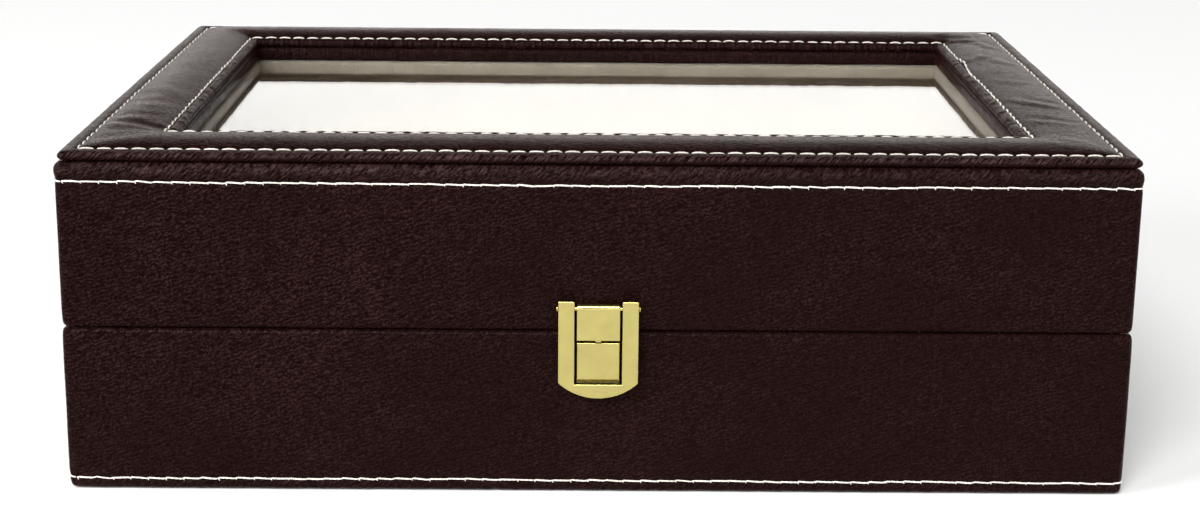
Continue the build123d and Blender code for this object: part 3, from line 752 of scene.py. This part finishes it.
def build_foam():
    ring = Ring(HX - 6, HY - 6, 4.0, corner=3)
    rows = []
    loop = [(7.0, 98.18), (6.6, 98.22), (6.8, 98.45)] + [(c, None) for c in (8, 10, 12, 15, 18, 20.5, 22.5)] + [
        (23.6, 98.45), (23.8, 98.22), (23.4, 98.18)]
    for c, z in loop:
        x, y, nx, ny = ring.xy(HX - c, HY - c, max(2.0 - c, 0.3))
        if z is None:
            z = 98.80 + pad_height(x, y)[0] - 0.62
            z = np.minimum(z, 98.80 + pad_height(x, y)[0] + top_fields(x, y, 0 * x + c) - 0.55)
        rows.append(np.stack([x, y, z + 0 * x], -1))
    P = np.array(rows)
    ob = new_object("panel_foam", P.reshape(-1, 3), grid_faces(len(P), P.shape[1], True, True))
    fix_normals(ob)
    return ob


foam_ob = build_foam()
finish_piece(foam_ob, "lid", "foam", ["lid_top_foam"])


def build_panel_board():
    """The board under the padding, its edges sanded round."""
    ring = Ring(HX - 2, HY - 2, 6.0, corner=3)
    rows = []
    for c, z in [(2.3, 96.76), (1.9, 96.95), (1.8, 97.4), (1.9, 97.9), (2.3, 98.14), (10.0, 98.15), (19.0, 98.15),
                 (27.0, 98.14), (27.4, 97.9), (27.5, 97.4), (27.4, 96.95), (27.0, 96.76), (19.0, 96.75), (10.0, 96.75)]:
        x, y, nx, ny = ring.xy(HX - c, HY - c, 0.3)
        rows.append(np.stack([x, y, z + 0.02 * vnoise(x / 9, y / 9, z, 17)], -1))
    P = np.array(rows)
    return fix_normals(new_object("panel_board", P.reshape(-1, 3), grid_faces(len(P), P.shape[1], True, True)))


finish_piece(build_panel_board(), "lid", "fibreboard", ["lid_top_board"])


# ------------------------------------------------------------------ wall covers
ARC = math.pi * 2.0 / 2                     # length of a corner of the wall, radius 2
ROUND = 4 * (HX - 2 + HY - 2) + 4 * ARC
WALL_STITCHES = int(round(ROUND / PITCH))
WALL_PITCH = ROUND / WALL_STITCHES


def round_the_box(a, side):
    """Distance round the wall, from the left end of the front, of a point on a straight side."""
    lx, ly = 2 * (HX - 2), 2 * (HY - 2)
    start = np.choose(side.astype(int), [0.0, lx + ARC, lx + ly + 2 * ARC, 2 * lx + ly + 3 * ARC])
    run = np.where(side == 0, a + HX - 2, np.where(side == 1, a + HY - 2, np.where(side == 2, HX - 2 - a, HY - 2 - a)))
    return start + run


def wall_fields(a, side, z, z_lo, z_hi, row_z, swell, seed):
    """Small relief of a leather wall, in mm outwards."""
    edge = np.maximum(np.minimum(z - z_lo, z_hi - z), 0)
    calm = 1 - np.exp(-edge / 2.5)
    # the latch plates press the leather flat
    press = (side == 0) * (1 - sstep(11, 16, np.abs(a))) * sstep(24, 29, z) * (1 - sstep(59, 64, z))
    calm = calm * (1 - press)
    f = swell * (1 - np.exp(-edge / 1.3)) * (1 - press)
    f = f + calm * (0.10 * vnoise(a / 55, z / 30, side * 11.0, seed) + 0.05 * vnoise(a / 17, z / 14, side * 3.0, seed + 1)
                    + 0.02 * vnoise(a / 5, z / 6, side * 5.0, seed + 2))
    d = z - row_z - row_wander(a, side, seed)
    hole = holes(round_the_box(a, side) * PITCH / WALL_PITCH)
    f = f - 0.30 * np.exp(-(d / 0.62) ** 2) - 0.22 * hole * np.exp(-(d / 0.7) ** 2)
    if row_z > 60:                              # the lid's strip over the stitches is fuller
        f = f + 0.26 * sstep(0.6, 2.4, d) * (1 - sstep(3.6, 5.4, d))
    # fine upright wrinkles between the stitch row and the nearest edge
    out = sstep(0.5, 1.3, d) if row_z > (z_lo + z_hi) / 2 else sstep(0.5, 1.3, -d)
    w = vnoise(a / 2.7, z / 8.0, side * 4.0, seed + 4)
    f = f + out * 0.07 * w
    fade = np.exp(-((np.abs(d) - 2.0) / 3.5) ** 2) * (1 - out)
    return f + fade * 0.02 * w


def row_wander(a, side, seed):
    return 0.16 * vnoise(a / 34, side * 13.0, 0, seed + 9) + 0.07 * vnoise(a / 9, side * 13.0, 0, seed + 10)


def arc(n0, z0, r, a0, a1, count, step):
    """Points of a quarter round; n0, z0 is its centre."""
    return [(n0 + r * math.cos(math.radians(t)), z0 + r * math.sin(math.radians(t)), step)
            for t in np.linspace(a0, a1, count)]


def build_wall(name, z_lo, z_hi, row_z, r_lo, r_hi, swell, seed, underneath):
    hi_z, lo_z = z_hi - 0.02, z_lo + 0.02
    prof = [(-6.95, hi_z, 3.0), (-3.6, hi_z, 1.2)] + arc(-r_hi, hi_z - r_hi, r_hi, 90, 0, 6, 0.45)
    mid = [(0.0, z, 1.25) for z in np.linspace(z_hi - r_hi - 0.6, z_lo + r_lo + 0.6, 12)]
    mid = [q for q in mid if abs(q[1] - row_z) > 2.2]
    mid += [(0.0, row_z + d, 0.36 if abs(d) < 1.4 else 0.7) for d in (1.9, 1.4, 0.7, 0.0, -0.7, -1.4, -1.9)]
    mid = sorted(mid, key=lambda q: -q[1])
    mid = [q for q in mid if z_lo + r_lo + 0.3 < q[1] < z_hi - r_hi - 0.3]
    far = -11.5 if underneath else -6.95
    prof += mid + arc(-r_lo, lo_z + r_lo, r_lo, 0, -90, 6, 0.45) + [(-3.6, lo_z, 1.5), (far, lo_z, 3.0)]
    prof = catmull(prof, 1.15)
    ring = Ring(HX, HY, 0.9)
    rows = []
    for n, z in prof:
        x, y, nx, ny = ring.xy(HX + n, HY + n, max(2.0 + n, 0.12))
        rows.append(np.stack([x, y, z + 0 * x], -1))
    P = np.array(rows)
    x, y, z = P[:, :, 0], P[:, :, 1], P[:, :, 2]
    a, side = side_along(x, y)
    near = sstep(0.0, 0.35, np.minimum(z - z_lo, z_hi - z)) * (prof[:, 0] > -3.0)[:, None]
    F = near * wall_fields(a, side, z, z_lo, z_hi, row_z, swell, seed)
    N = grid_normals(P)
    k = len(prof) // 2
    sign = 1.0 if N[k, 0, 1] < 0 else -1.0
    P = P + sign * N * F[:, :, None]
    ob, _, _ = shell_from_grid(name, P, 0.8 * sign, every=6)
    fix_normals(ob)
    d = z - row_z
    top_row_here = row_z > (z_lo + z_hi) / 2
    amount = (sstep(0.3, 1.0, d) if top_row_here else sstep(0.3, 1.0, -d)) * (prof[:, 0] > -3.0)[:, None]
    amount = np.maximum(amount, 0.35 * np.exp(-((np.abs(d) - 1.0) / 2.5) ** 2) * (prof[:, 0] > -1.0)[:, None])
    # painted highlight: the lid strip's rounded top above the stitch row is painted lighter, more towards the left,
    # where the left lamp lights it
    painted_highlight = sstep(row_z + 0.9, row_z + 4.2, z) * (1 - sstep(z_hi - 0.9, z_hi - 0.3, z)) if row_z > 60 else 0 * z
    gathers(ob, 0.75 * amount, (a - 0.95 * z) * 1.35, z * 0.55, side * 37.0 + seed,
            (0.32 - 0.20 * sstep(-90, 110, a)) * painted_highlight * (1 + 0.5 * vnoise(a / 60, side * 3.0, 0, 77)))
    return ob


lid_wall = build_wall("lid_wall_leather", RIM_LID, WALL_TOP, THREAD_LID_Z, 1.2, 2.7, 0.40, 21, False)
finish_piece(lid_wall, "lid", "leather", ["lid_leather_cover"])
base_wall = build_wall("base_wall_leather", 0.4, RIM_BASE, THREAD_BASE_Z, 1.0, 1.2, 0.55, 41, True)
finish_piece(base_wall, "base", "leather", ["base_leather_cover"])


# ------------------------------------------------------------------ stitches
def tube(verts, faces, path, ups, radius, sides=10, ply=1.3, phase=0.0):
    """Adds a two-ply thread along a path; its ends are closed."""
    path, ups = np.array(path), np.array(ups)
    n = len(path)
    tan = np.gradient(path, axis=0)
    tan /= np.linalg.norm(tan, axis=1, keepdims=True)
    sid = np.cross(tan, ups)
    sid /= np.linalg.norm(sid, axis=1, keepdims=True)
    upv = np.cross(sid, tan)
    s = np.concatenate([[0], np.cumsum(np.linalg.norm(np.diff(path, axis=0), axis=1))])
    ang = np.arange(sides) * 2 * math.pi / sides
    r = np.asarray(radius)[:, None] * (1 + 0.13 * np.cos(2 * ang[None] - 2 * math.pi * s[:, None] / ply + phase))
    ringp = (path[:, None] + r[:, :, None] * (np.cos(ang)[None, :, None] * sid[:, None]
                                              + np.sin(ang)[None, :, None] * upv[:, None]))
    start = sum(len(v) for v in verts)
    verts.append(ringp.reshape(-1, 3))
    faces.append(grid_faces(n, sides, False, True, start))
    verts.append(np.array([path[0] - tan[0] * radius[0] * 0.5, path[-1] + tan[-1] * radius[-1] * 0.5]))
    c0, c1 = start + n * sides, start + n * sides + 1
    k = np.arange(sides)
    k2 = (k + 1) % sides
    tris.append(np.stack([start + k2, start + k, np.full(sides, c0)], -1))
    e = start + (n - 1) * sides
    tris.append(np.stack([e + k, e + k2, np.full(sides, c1)], -1))


def thread_object(name, verts, faces, tri):
    allf = [tuple(f) for arr in faces for f in arr] + [tuple(f) for arr in tri for f in arr]
    return fix_normals(new_object(name, np.vstack(verts), allf))


rng = np.random.default_rng(12)


def top_row(name, margin, node_name):
    global tris
    verts, faces, tris = [], [], []
    sx, sy = HX - margin, HY - margin
    for side in range(4):
        half = sx if side % 2 == 0 else sy
        # needle holes at the same places that the leather's dimples are
        k0 = math.ceil((-half + 0.4) / PITCH - 0.0)
        stops = [PITCH * k for k in range(-80, 81) if -half + 1.6 <= PITCH * k <= half - 1.6]
        stops = [-half] + stops + [half]
        for a0, a1 in zip(stops[:-1], stops[1:]):
            L = a1 - a0
            g = 0.42 if side % 2 == 0 else 0.90
            n = max(7, int(L / 0.30))
            t = np.linspace(0, 1, n)
            a = a0 + g + (L - 2 * g) * t
            w = rng.normal(0, 0.06)
            skew = rng.normal(0.0, 0.06)
            off = w + skew * (2 * t - 1) + 0.05 * np.sin(math.pi * t)
            if side == 0:
                x, y = a, -sy + 0 * a - off
            elif side == 1:
                x, y = sx + 0 * a + off, a
                if margin == INNER_ROW:
                    x = x + 0.6 * np.exp(-((a - 36) / 7) ** 2) - 0.8 * np.exp(-((a - 18) / 7) ** 2)
            elif side == 2:
                x, y = -a, sy + 0 * a + off
            else:
                x, y = -sx + 0 * a - off, -a
            c = np.minimum(HX - np.abs(x), HY - np.abs(y))
            mid = top_surface(x, y, 0 * c + margin)
            bow = np.sin(math.pi * np.clip(t, 0, 1)) ** 0.42
            z = np.median(mid) - (0.02 if side % 2 == 0 else 0.12) + (0.42 if margin == OUTER_ROW else 0.64) * bow * (1 + rng.normal(0, 0.08))
            r = (0.235 if side % 2 == 0 else 0.27) * (0.62 + 0.38 * np.sin(math.pi * t) ** 0.5) * (1 + rng.normal(0, 0.05))
            x = x + left_inset(x, y)
            tube(verts, faces, np.stack([x, y, z], -1), np.tile([0, 0, 1.0], (n, 1)), r,
                 phase=rng.uniform(0, 6.28))
    ob = thread_object(name, verts, faces, tris)
    finish_piece(ob, "lid", "thread", [node_name])
    return ob


top_row("outer_row_stitches", OUTER_ROW, "top_outer_thread")
top_row("inner_row_stitches", INNER_ROW, "top_inner_thread")


def on_wall(s, out):
    """Points round the box at distances s along the wall, out mm from its plain surface, with their normals."""
    lx, ly = 2 * (HX - 2), 2 * (HY - 2)
    s = np.mod(s, ROUND)
    x, y, nx, ny = [np.zeros(len(s)) for _ in range(4)]
    ends = np.cumsum([lx, ARC, ly, ARC, lx, ARC, ly, ARC])
    part = np.minimum(np.searchsorted(ends, s, side="right"), 7)
    u = s - np.concatenate([[0], ends])[part]
    for k in range(4):
        st = part == 2 * k
        run = u[st] - (lx if k % 2 == 0 else ly) / 2
        o = out[st]
        tx, ty = ((1, 0), (0, 1), (-1, 0), (0, -1))[k]
        ux, uy = ((0, -1), (1, 0), (0, 1), (-1, 0))[k]
        half = HY if k % 2 == 0 else HX
        x[st], y[st] = tx * run + ux * (half + o), ty * run + uy * (half + o)
        nx[st], ny[st] = ux, uy
        co = part == 2 * k + 1
        ang = np.radians(-90 + 90 * k) + u[co] / 2.0
        cx, cy = (HX - 2) * (1, 1, -1, -1)[k], (HY - 2) * (-1, 1, 1, -1)[k]
        nx[co], ny[co] = np.cos(ang), np.sin(ang)
        x[co], y[co] = cx + (2 + out[co]) * nx[co], cy + (2 + out[co]) * ny[co]
    return x, y, nx, ny


def wall_row(name, z_row, node_name, body, ground, seed, wall_seed):
    """One continuous thread whose stitches sag a little into each hole, with the knot's nib below it."""
    global tris
    verts, faces, tris = [], [], []
    r_ = np.random.default_rng(seed)
    per = 16
    n = WALL_STITCHES
    t = np.tile(np.arange(per) / per, n)
    k = np.repeat(np.arange(n), per)
    slope = (0.12 + r_.normal(0, 0.07, n + 1))[k]
    level = r_.normal(0, 0.06, n + 1)
    lev = level[k] * (1 - t) + level[k + 1] * t
    arch = (0.05 + r_.normal(0, 0.05, n + 1))[k] * np.sin(math.pi * t)
    saw = slope * (1 - 2 * t)
    ease = np.minimum(t, 1 - t)
    saw = saw * sstep(0.0, 0.12, ease)
    s = (k + t) * WALL_PITCH
    out0 = 0 * s
    x, y, nx, ny = on_wall(s, out0)
    a, side = side_along(x, y)
    z = z_row + row_wander(a, side, wall_seed) + lev + arch + saw - 0.10 * (1 - sstep(0.0, 0.10, ease))
    out = ground + 0.30 * np.sin(math.pi * t) ** 0.4
    x, y, nx, ny = on_wall(s, out)
    r = 0.235 * (0.84 + 0.16 * np.sin(math.pi * t) ** 0.5) * (1 + (r_.normal(0, 0.05, n + 1))[k])
    path, ups = np.stack([x, y, z], -1), np.stack([nx, ny, 0 * nx], -1)
    tube(verts, faces, path, ups, r, sides=10, ply=1.25)
    for i in range(n):
        if r_.random() < 0.12:
            continue
        j = i * per
        ln = 0.42 + r_.normal(0, 0.14)
        if ln < 0.2:
            continue
        q = np.linspace(0, 1, 5)
        ss = s[j] + 0.15 + q * (0.20 + r_.normal(0, 0.10))
        xx, yy, ax, ay = on_wall(ss, ground + 0.10 - 0.12 * q)
        zz = z[j] - 0.15 - ln * q
        tube(verts, faces, np.stack([xx, yy, zz], -1), np.stack([ax, ay, 0 * ax], -1),
             0.17 * (1 - 0.45 * q), sides=8)
    ob = thread_object(name, verts, faces, tris)
    finish_piece(ob, body, "thread", [node_name])
    return ob


wall_row("lid_wall_stitches", THREAD_LID_Z, "lid_thread", "lid", 0.10, 5, 21)
wall_row("base_wall_stitches", THREAD_BASE_Z, "base_thread", "base", 0.20, 6, 41)


# ------------------------------------------------------------------ inner frames of the window
def build_ring(name, ex, ey, loop, step, closed_step=0.8, fields=None, smooth=True):
    pts = catmull(loop + [loop[0]], closed_step)[:-1]
    ring = Ring(ex, ey, step, corner=3)
    rows = []
    for c, z in pts:
        x, y, nx, ny = ring.xy(ex - c, ey - c, 0.15 if c > 1 else 0.4)
        rows.append(np.stack([x, y, z + 0 * x], -1))
    P = np.array(rows)
    if fields is not None:
        du = np.roll(P, -1, axis=0) - np.roll(P, 1, axis=0)
        dv = np.roll(P, -1, axis=1) - np.roll(P, 1, axis=1)
        N = np.cross(dv, du)
        N /= np.maximum(np.linalg.norm(N, axis=2, keepdims=True), 1e-9)
        k = int(np.argmax(pts[:, 0]))
        sgn = 1.0 if (N[k, 5, 1] > 0) else -1.0      # on the front rail's inner face, out of the solid is +Y
        P = P + sgn * N * fields(P, pts)[:, :, None]
    ob = new_object(name, P.reshape(-1, 3), grid_faces(len(P), P.shape[1], True, True), smooth)
    return fix_normals(ob)


def sub_fields(P, pts):
    x, y, z = P[:, :, 0], P[:, :, 1], P[:, :, 2]
    a = np.where(IX - np.abs(x) < IY - np.abs(y), y, x)
    side = np.where(IX - np.abs(x) < IY - np.abs(y), 1.0, 0.0) + np.sign(x + y)
    inner = sstep(19.3, 20.6, pts[:, 0])[:, None]
    return inner * (0.10 * vnoise(a / 14, side * 3, z / 3, 61) + 0.06 * vnoise(a / 3.2, side * 4, z / 6, 62)
                    + 0.04 * vnoise(a / 1.5, side * 5, z / 8, 63))


SUB = [(0.0, 91.3), (0.0, 95.7), (0.4, 95.83), (6.0, 95.84), (14.0, 95.84), (19.6, 95.84), (20.5, 95.68),
       (21.05, 95.25), (21.32, 94.6), (21.4, 93.7), (21.4, 92.8), (21.32, 92.0), (21.0, 91.45), (20.2, 91.15),
       (18.0, 91.12), (12.0, 91.12), (6.0, 91.12), (0.4, 91.14)]
sub = build_ring("window_subframe_leather", IX - 0.1, IY - 0.1, SUB, 1.0, 0.55, sub_fields)
sub_co = np.array([q.co for q in sub.data.vertices]) / MM
sub_a = np.where(IX - np.abs(sub_co[:, 0]) < IY - np.abs(sub_co[:, 1]), sub_co[:, 1], sub_co[:, 0])
gathers(sub, 0.6 * sstep(19.0, 20.4, np.minimum(IX - np.abs(sub_co[:, 0]), IY - np.abs(sub_co[:, 1]))), sub_a * 1.5,
        sub_co[:, 2] * 0.2, 60 + 9 * np.sign(sub_co[:, 0] + sub_co[:, 1]))
finish_piece(sub, "lid", "leather", ["window_frame"])


def ret_fields(P, pts):
    x, y, z = P[:, :, 0], P[:, :, 1], P[:, :, 2]
    inner = sstep(19.3, 20.6, pts[:, 0])[:, None]
    return inner * (0.12 * vnoise(x / 16, y / 16, z / 3, 71) + 0.05 * vnoise(x / 3, y / 3, z / 2, 72))


RET = [(0.0, 84.9), (0.0, 88.0), (0.0, 90.9), (0.2, 91.07), (5.0, 91.08), (10.8, 91.08), (11.05, 90.9), (11.1, 89.25),
       (11.3, 89.08), (15.0, 89.06), (20.4, 89.05), (21.05, 88.85), (21.36, 88.3), (21.4, 86.9), (21.34, 85.5),
       (21.0, 84.95), (20.2, 84.74), (12.0, 84.72), (6.0, 84.72), (0.3, 84.74)]
ret = build_ring("glass_retainer_velvet", IX - 0.1, IY - 0.1, RET, 2.0, 0.8, ret_fields)
finish_piece(ret, "lid", "velvet", ["glass_retainer"])

# ------------------------------------------------------------------ linings and dividers
def card(name, lo, hi, body, node_name, r=0.55, wob=0.12, seed=1, step=5.0):
    ob = rbox(name, lo, hi, r, step, wob, seed)
    return finish_piece(fix_normals(ob), body, "velvet", [node_name])


LB = FLOOR_TOP
LT = RIM_BASE - 1.3
card("base_front_velvet", (-IX, -IY, LB), (IX, -CY, LT), "base", "base_lining_front", seed=1)
card("base_back_velvet", (-IX, CY, LB), (IX, IY, LT), "base", "base_lining_back", seed=2)
card("base_left_velvet", (-IX, -CY, LB), (-CX, CY, LT), "base", "base_lining_left", seed=3)
card("base_right_velvet", (CX, -CY, LB), (IX, CY, LT), "base", "base_lining_right", seed=4)
card("floor_velvet", (-IX, -IY, LB - 1.2), (IX, IY, LB), "base", "base_floor_lining", r=0.3, wob=0.08, seed=5, step=7.0)
L0, L1 = RIM_LID + 1.0, 84.6
card("lid_front_velvet", (-IX, -IY, L0), (IX, -CY, L1), "lid", "lid_lining_front", seed=6)
card("lid_back_velvet", (-IX, CY, L0), (IX, IY, L1), "lid", "lid_lining_back", seed=7)
card("lid_left_velvet", (-IX, -CY, L0), (-CX, CY, L1), "lid", "lid_lining_left", seed=8)
card("lid_right_velvet", (CX, -CY, L0), (IX, CY, L1), "lid", "lid_lining_right", seed=9)

CELL_X = (2 * CX - 5 * DIVIDER) / 6
CELL_Y = (2 * CY - DIVIDER) / 2


def join(name, obs):
    """One object from several."""
    bm = bmesh.new()
    for o in obs:
        bm.from_mesh(o.data)
    me = bpy.data.meshes.new(name)
    bm.to_mesh(me)
    bm.free()
    for o in obs:
        bpy.data.objects.remove(o)
    me.polygons.foreach_set("use_smooth", [True] * len(me.polygons))
    ob = bpy.data.objects.new(name, me)
    scene.collection.objects.link(ob)
    return ob


card("long_divider_velvet", (-CX, -DIVIDER / 2, LB), (CX, DIVIDER / 2, DIVIDER_TOP), "base", "long_divider",
     r=1.2, wob=0.10, seed=15, step=4.0)
cross = []
for i in range(5):
    x = -CX + (i + 1) * CELL_X + (i + 0.5) * DIVIDER
    for s in (-1, 1):
        y0, y1 = sorted((s * DIVIDER / 2 * 0.9, s * CY))
        cross.append(rbox("c", (x - DIVIDER / 2, y0, LB), (x + DIVIDER / 2, y1, DIVIDER_TOP), 1.2, 4.0, 0.10, 30 + i))
cross_ob = join("cross_divider_velvet", cross)
finish_piece(fix_normals(cross_ob), "base", "velvet", ["cross_dividers"])


# ------------------------------------------------------------------ pillows
def pillow_base(sx, sy, sz):
    """Closed roll of oval section, axis along X, centred on the origin, in mm."""
    n_len, n_round = 12, 44
    xs = np.linspace(-1, 1, n_len + 1)
    ang = np.arange(n_round) * 2 * math.pi / n_round
    rows = []
    for u in xs:
        k = (1 - abs(u) ** 7) ** (1 / 7.0) if abs(u) < 1 else 0.0
        k = 0.80 + 0.20 * k
        e = 2.7
        cy = np.sign(np.cos(ang)) * np.abs(np.cos(ang)) ** (2 / e)
        cz = np.sign(np.sin(ang)) * np.abs(np.sin(ang)) ** (2 / e)
        rows.append(np.stack([0 * ang + u * sx / 2, cy * sy / 2 * k, cz * sz / 2 * k], -1))
    P = np.array(rows)
    verts = list(P.reshape(-1, 3))
    faces = [tuple(f) for f in grid_faces(len(P), n_round, False, True)]
    for end in (0, len(P) - 1):
        prev = end * n_round
        for k in (0.66, 0.33):
            s = len(verts)
            verts += list(P[end] * np.array([1.0, k, k]))
            for j in range(n_round):
                j2 = (j + 1) % n_round
                faces.append((prev + j, prev + j2, s + j2, s + j))
            prev = s
        c = len(verts)
        verts.append(P[end].mean(0))
        for j in range(n_round):
            faces.append((prev + j, prev + (j + 1) % n_round, c))
    return np.array(verts), faces


PX, PY, PZ = CELL_X - 0.86, 76.0, 43.0


def pillow_shape():
    """One stuffed pillow: a slack roll blown up as cloth, then flattened where it stands."""
    v, f = pillow_base(PX - 3.0, PY - 5.0, PZ - 4.5)
    ob = new_object("pillow_work", v, f)
    fix_normals(ob)
    me = ob.data
    bpy.context.view_layer.objects.active = ob
    ob.select_set(True)
    rm = ob.modifiers.new("r", "REMESH")
    rm.mode = "VOXEL"
    rm.voxel_size = 0.0036
    dg = bpy.context.evaluated_depsgraph_get()
    me = bpy.data.meshes.new_from_object(ob.evaluated_get(dg))
    ob.modifiers.clear()
    ob.data = me
    start = np.array([p.co for p in me.vertices])
    cl = ob.modifiers.new("cloth", "CLOTH")
    cl.settings.quality = 6
    cl.settings.mass = 0.25
    cl.settings.tension_stiffness = 14
    cl.settings.compression_stiffness = 14
    cl.settings.shear_stiffness = 5
    cl.settings.bending_stiffness = 0.6
    cl.settings.use_pressure = True
    cl.settings.uniform_pressure_force = 4.0
    cl.settings.effector_weights.gravity = 0.0
    scene.frame_start, scene.frame_end = 1, 20
    for fr in range(1, 21):
        scene.frame_set(fr)
    dg = bpy.context.evaluated_depsgraph_get()
    done = bpy.data.meshes.new_from_object(ob.evaluated_get(dg))
    end = np.array([p.co for p in done.vertices])
    scene.frame_set(1)
    d = end - start
    ln = np.linalg.norm(d, axis=1, keepdims=True)
    d *= np.minimum(1.0, 0.007 / np.maximum(ln, 1e-9))
    ob.modifiers.clear()
    co = start + d
    done.vertices.foreach_set("co", co.ravel())
    done.update()
    ob.data = done
    sub_m = ob.modifiers.new("s", "SUBSURF")
    sub_m.levels = sub_m.render_levels = 1
    dg = bpy.context.evaluated_depsgraph_get()
    done = bpy.data.meshes.new_from_object(ob.evaluated_get(dg))
    co = np.array([p.co for p in done.vertices]) / MM
    faces = [tuple(p.vertices) for p in done.polygons]
    bpy.data.objects.remove(ob)
    lo, hi = co.min(0), co.max(0)
    co = (co - (lo + hi) / 2) / (hi - lo) * np.array([PX, PY, PZ])
    return co, faces


pil_co, pil_faces = pillow_shape()
n_p = 0
for row in (-1, 1):
    for col in range(6):
        n_p += 1
        px = -CX + (col + 0.5) * CELL_X + col * DIVIDER
        py = row * (DIVIDER / 2 + CELL_Y / 2)
        v = pil_co.copy()
        if n_p % 2:
            v[:, 0] *= -1
        # side seams: a gathered line round each end
        ax = np.abs(v[:, 0])
        seam = np.exp(-((ax - (PX / 2 - 5.0)) / 0.9) ** 2)
        rad = np.hypot(v[:, 1] / (PY / 2), v[:, 2] / (PZ / 2))
        ang = np.arctan2(v[:, 2] / PZ, v[:, 1] / PY)
        shell = sstep(0.55, 0.8, rad)
        g = seam * (0.75 + 0.25 * vnoise(ang * 14, n_p * 3.0, 0, 80)) * shell
        pull = np.exp(-((ax - (PX / 2 - 5.0)) / 4.5) ** 2) * 0.35 * vnoise(ang * 17, n_p * 5.0, v[:, 0] / 9, 81) * shell
        k = 1 - (0.9 * g - pull) / 30.0
        v[:, 1] *= k
        v[:, 2] *= k
        bump = 0.45 * vnoise(v[:, 0] / 15, v[:, 1] / 17, v[:, 2] / 15 + n_p * 9.1, 82)
        lnv = np.linalg.norm(v, axis=1, keepdims=True)
        v = v + v / np.maximum(lnv, 1e-6) * (bump[:, None] - 0.45)
        v[:, 0] = np.clip(v[:, 0], -PX / 2, PX / 2)
        # it stands on a flat patch
        z0 = 6.5
        vz = v[:, 2] + PZ / 2
        vz = np.where(vz < 1.6, 1.6 * (vz / 1.6) ** 2 * 0.5 + vz * 0.5, vz)
        vz = np.maximum(vz, 0.03)
        v = np.stack([v[:, 0] + px, v[:, 1] + py, vz + z0], -1)
        ob = fix_normals(new_object("pillow_%02d_suede" % n_p, v, pil_faces))
        finish_piece(ob, "watch_pillow_%02d" % n_p, "pillow_suede", ["watch_pillow_%02d" % n_p])

# ------------------------------------------------------------------ metal: soften the edges of the hardware
for name in slot_of:
    if slot_of[name] == "gold":
        ob = nodes[name]
        bv = ob.modifiers.new("edge", "BEVEL")
        bv.width = 0.00009
        bv.segments = 2
        bv.limit_method = "ANGLE"
        bv.angle_limit = math.radians(50)
        bv.harden_normals = False

# ------------------------------------------------------------------ floor and light
fl = new_object("floor", [(-6000, -6000, 0), (6000, -6000, 0), (6000, 6000, 0), (-6000, 6000, 0)], [(0, 1, 2, 3)], False)
mt, nt, b = material("floor_paint")
b.inputs["Base Color"].default_value = (0.93, 0.93, 0.93, 1)
b.inputs["Roughness"].default_value = 0.9
b.inputs["Specular IOR Level"].default_value = 0.1
fl.data.materials.append(mt)

world = bpy.data.worlds.new("studio")
scene.world = world
world.use_nodes = True
wn = world.node_tree
wn.nodes.clear()
wo = wn.nodes.new("ShaderNodeOutputWorld")
bg = wn.nodes.new("ShaderNodeBackground")
# a pale cove: bright near the horizon, dim overhead
tc = wn.nodes.new("ShaderNodeTexCoord")
sep = wn.nodes.new("ShaderNodeSeparateXYZ")
wn.links.new(tc.outputs["Generated"], sep.inputs[0])
sky = wn.nodes.new("ShaderNodeValToRGB")
sky.color_ramp.interpolation = "EASE"
SKY = [(0.0, 1.0), (0.18, 0.98), (0.228, 0.94), (0.262, 0.40), (0.31, 0.13), (0.42, 0.08), (0.60, 0.07), (1.0, 0.07)]
while len(sky.color_ramp.elements) < len(SKY):
    sky.color_ramp.elements.new(0.5)
for e, (p, v) in zip(sky.color_ramp.elements, SKY):
    e.position, e.color = p, (v, v * 0.993, v * 0.965, 1)
wn.links.new(sep.outputs["Z"], sky.inputs[0])
wn.links.new(sky.outputs[0], bg.inputs["Color"])
bg.inputs["Strength"].default_value = 1.88
wn.links.new(bg.outputs[0], wo.inputs[0])


def area(name, loc, target, sx, sy, power):
    d = bpy.data.lights.new(name, "AREA")
    d.shape = "RECTANGLE"
    d.size, d.size_y = sx, sy
    d.energy = power
    o = bpy.data.objects.new(name, d)
    scene.collection.objects.link(o)
    o.location = loc
    o.rotation_mode = "QUATERNION"
    o.rotation_quaternion = (Vector(target) - Vector(loc)).to_track_quat("-Z", "Y")
    return o


def toward(az, el):
    """Unit vector to a lamp; azimuth 0 is straight in front, positive to the right."""
    a, e = math.radians(az), math.radians(el)
    return Vector((math.sin(a) * math.cos(e), -math.cos(a) * math.cos(e), math.sin(e)))


key = bpy.data.lights.new("front_key", "SUN")
key.energy = 2.9
key.angle = math.radians(34)
key_ob = bpy.data.objects.new("front_key", key)
scene.collection.objects.link(key_ob)
key_ob.rotation_mode = "QUATERNION"
key_ob.rotation_quaternion = toward(-18, 47).to_track_quat("Z", "Y")
area("left_softbox", (-1.0, -0.60, 0.55), (-0.10, -0.05, 0.06), 0.4, 0.5, 9.0)
area("right_softbox", (1.0, -0.50, 0.45), (0.08, -0.05, 0.06), 0.5, 0.7, 2.5)

scene.view_settings.view_transform = "Standard"
scene.view_settings.look = "None"
scene.view_settings.exposure = 0.0
scene.view_settings.gamma = 1.0
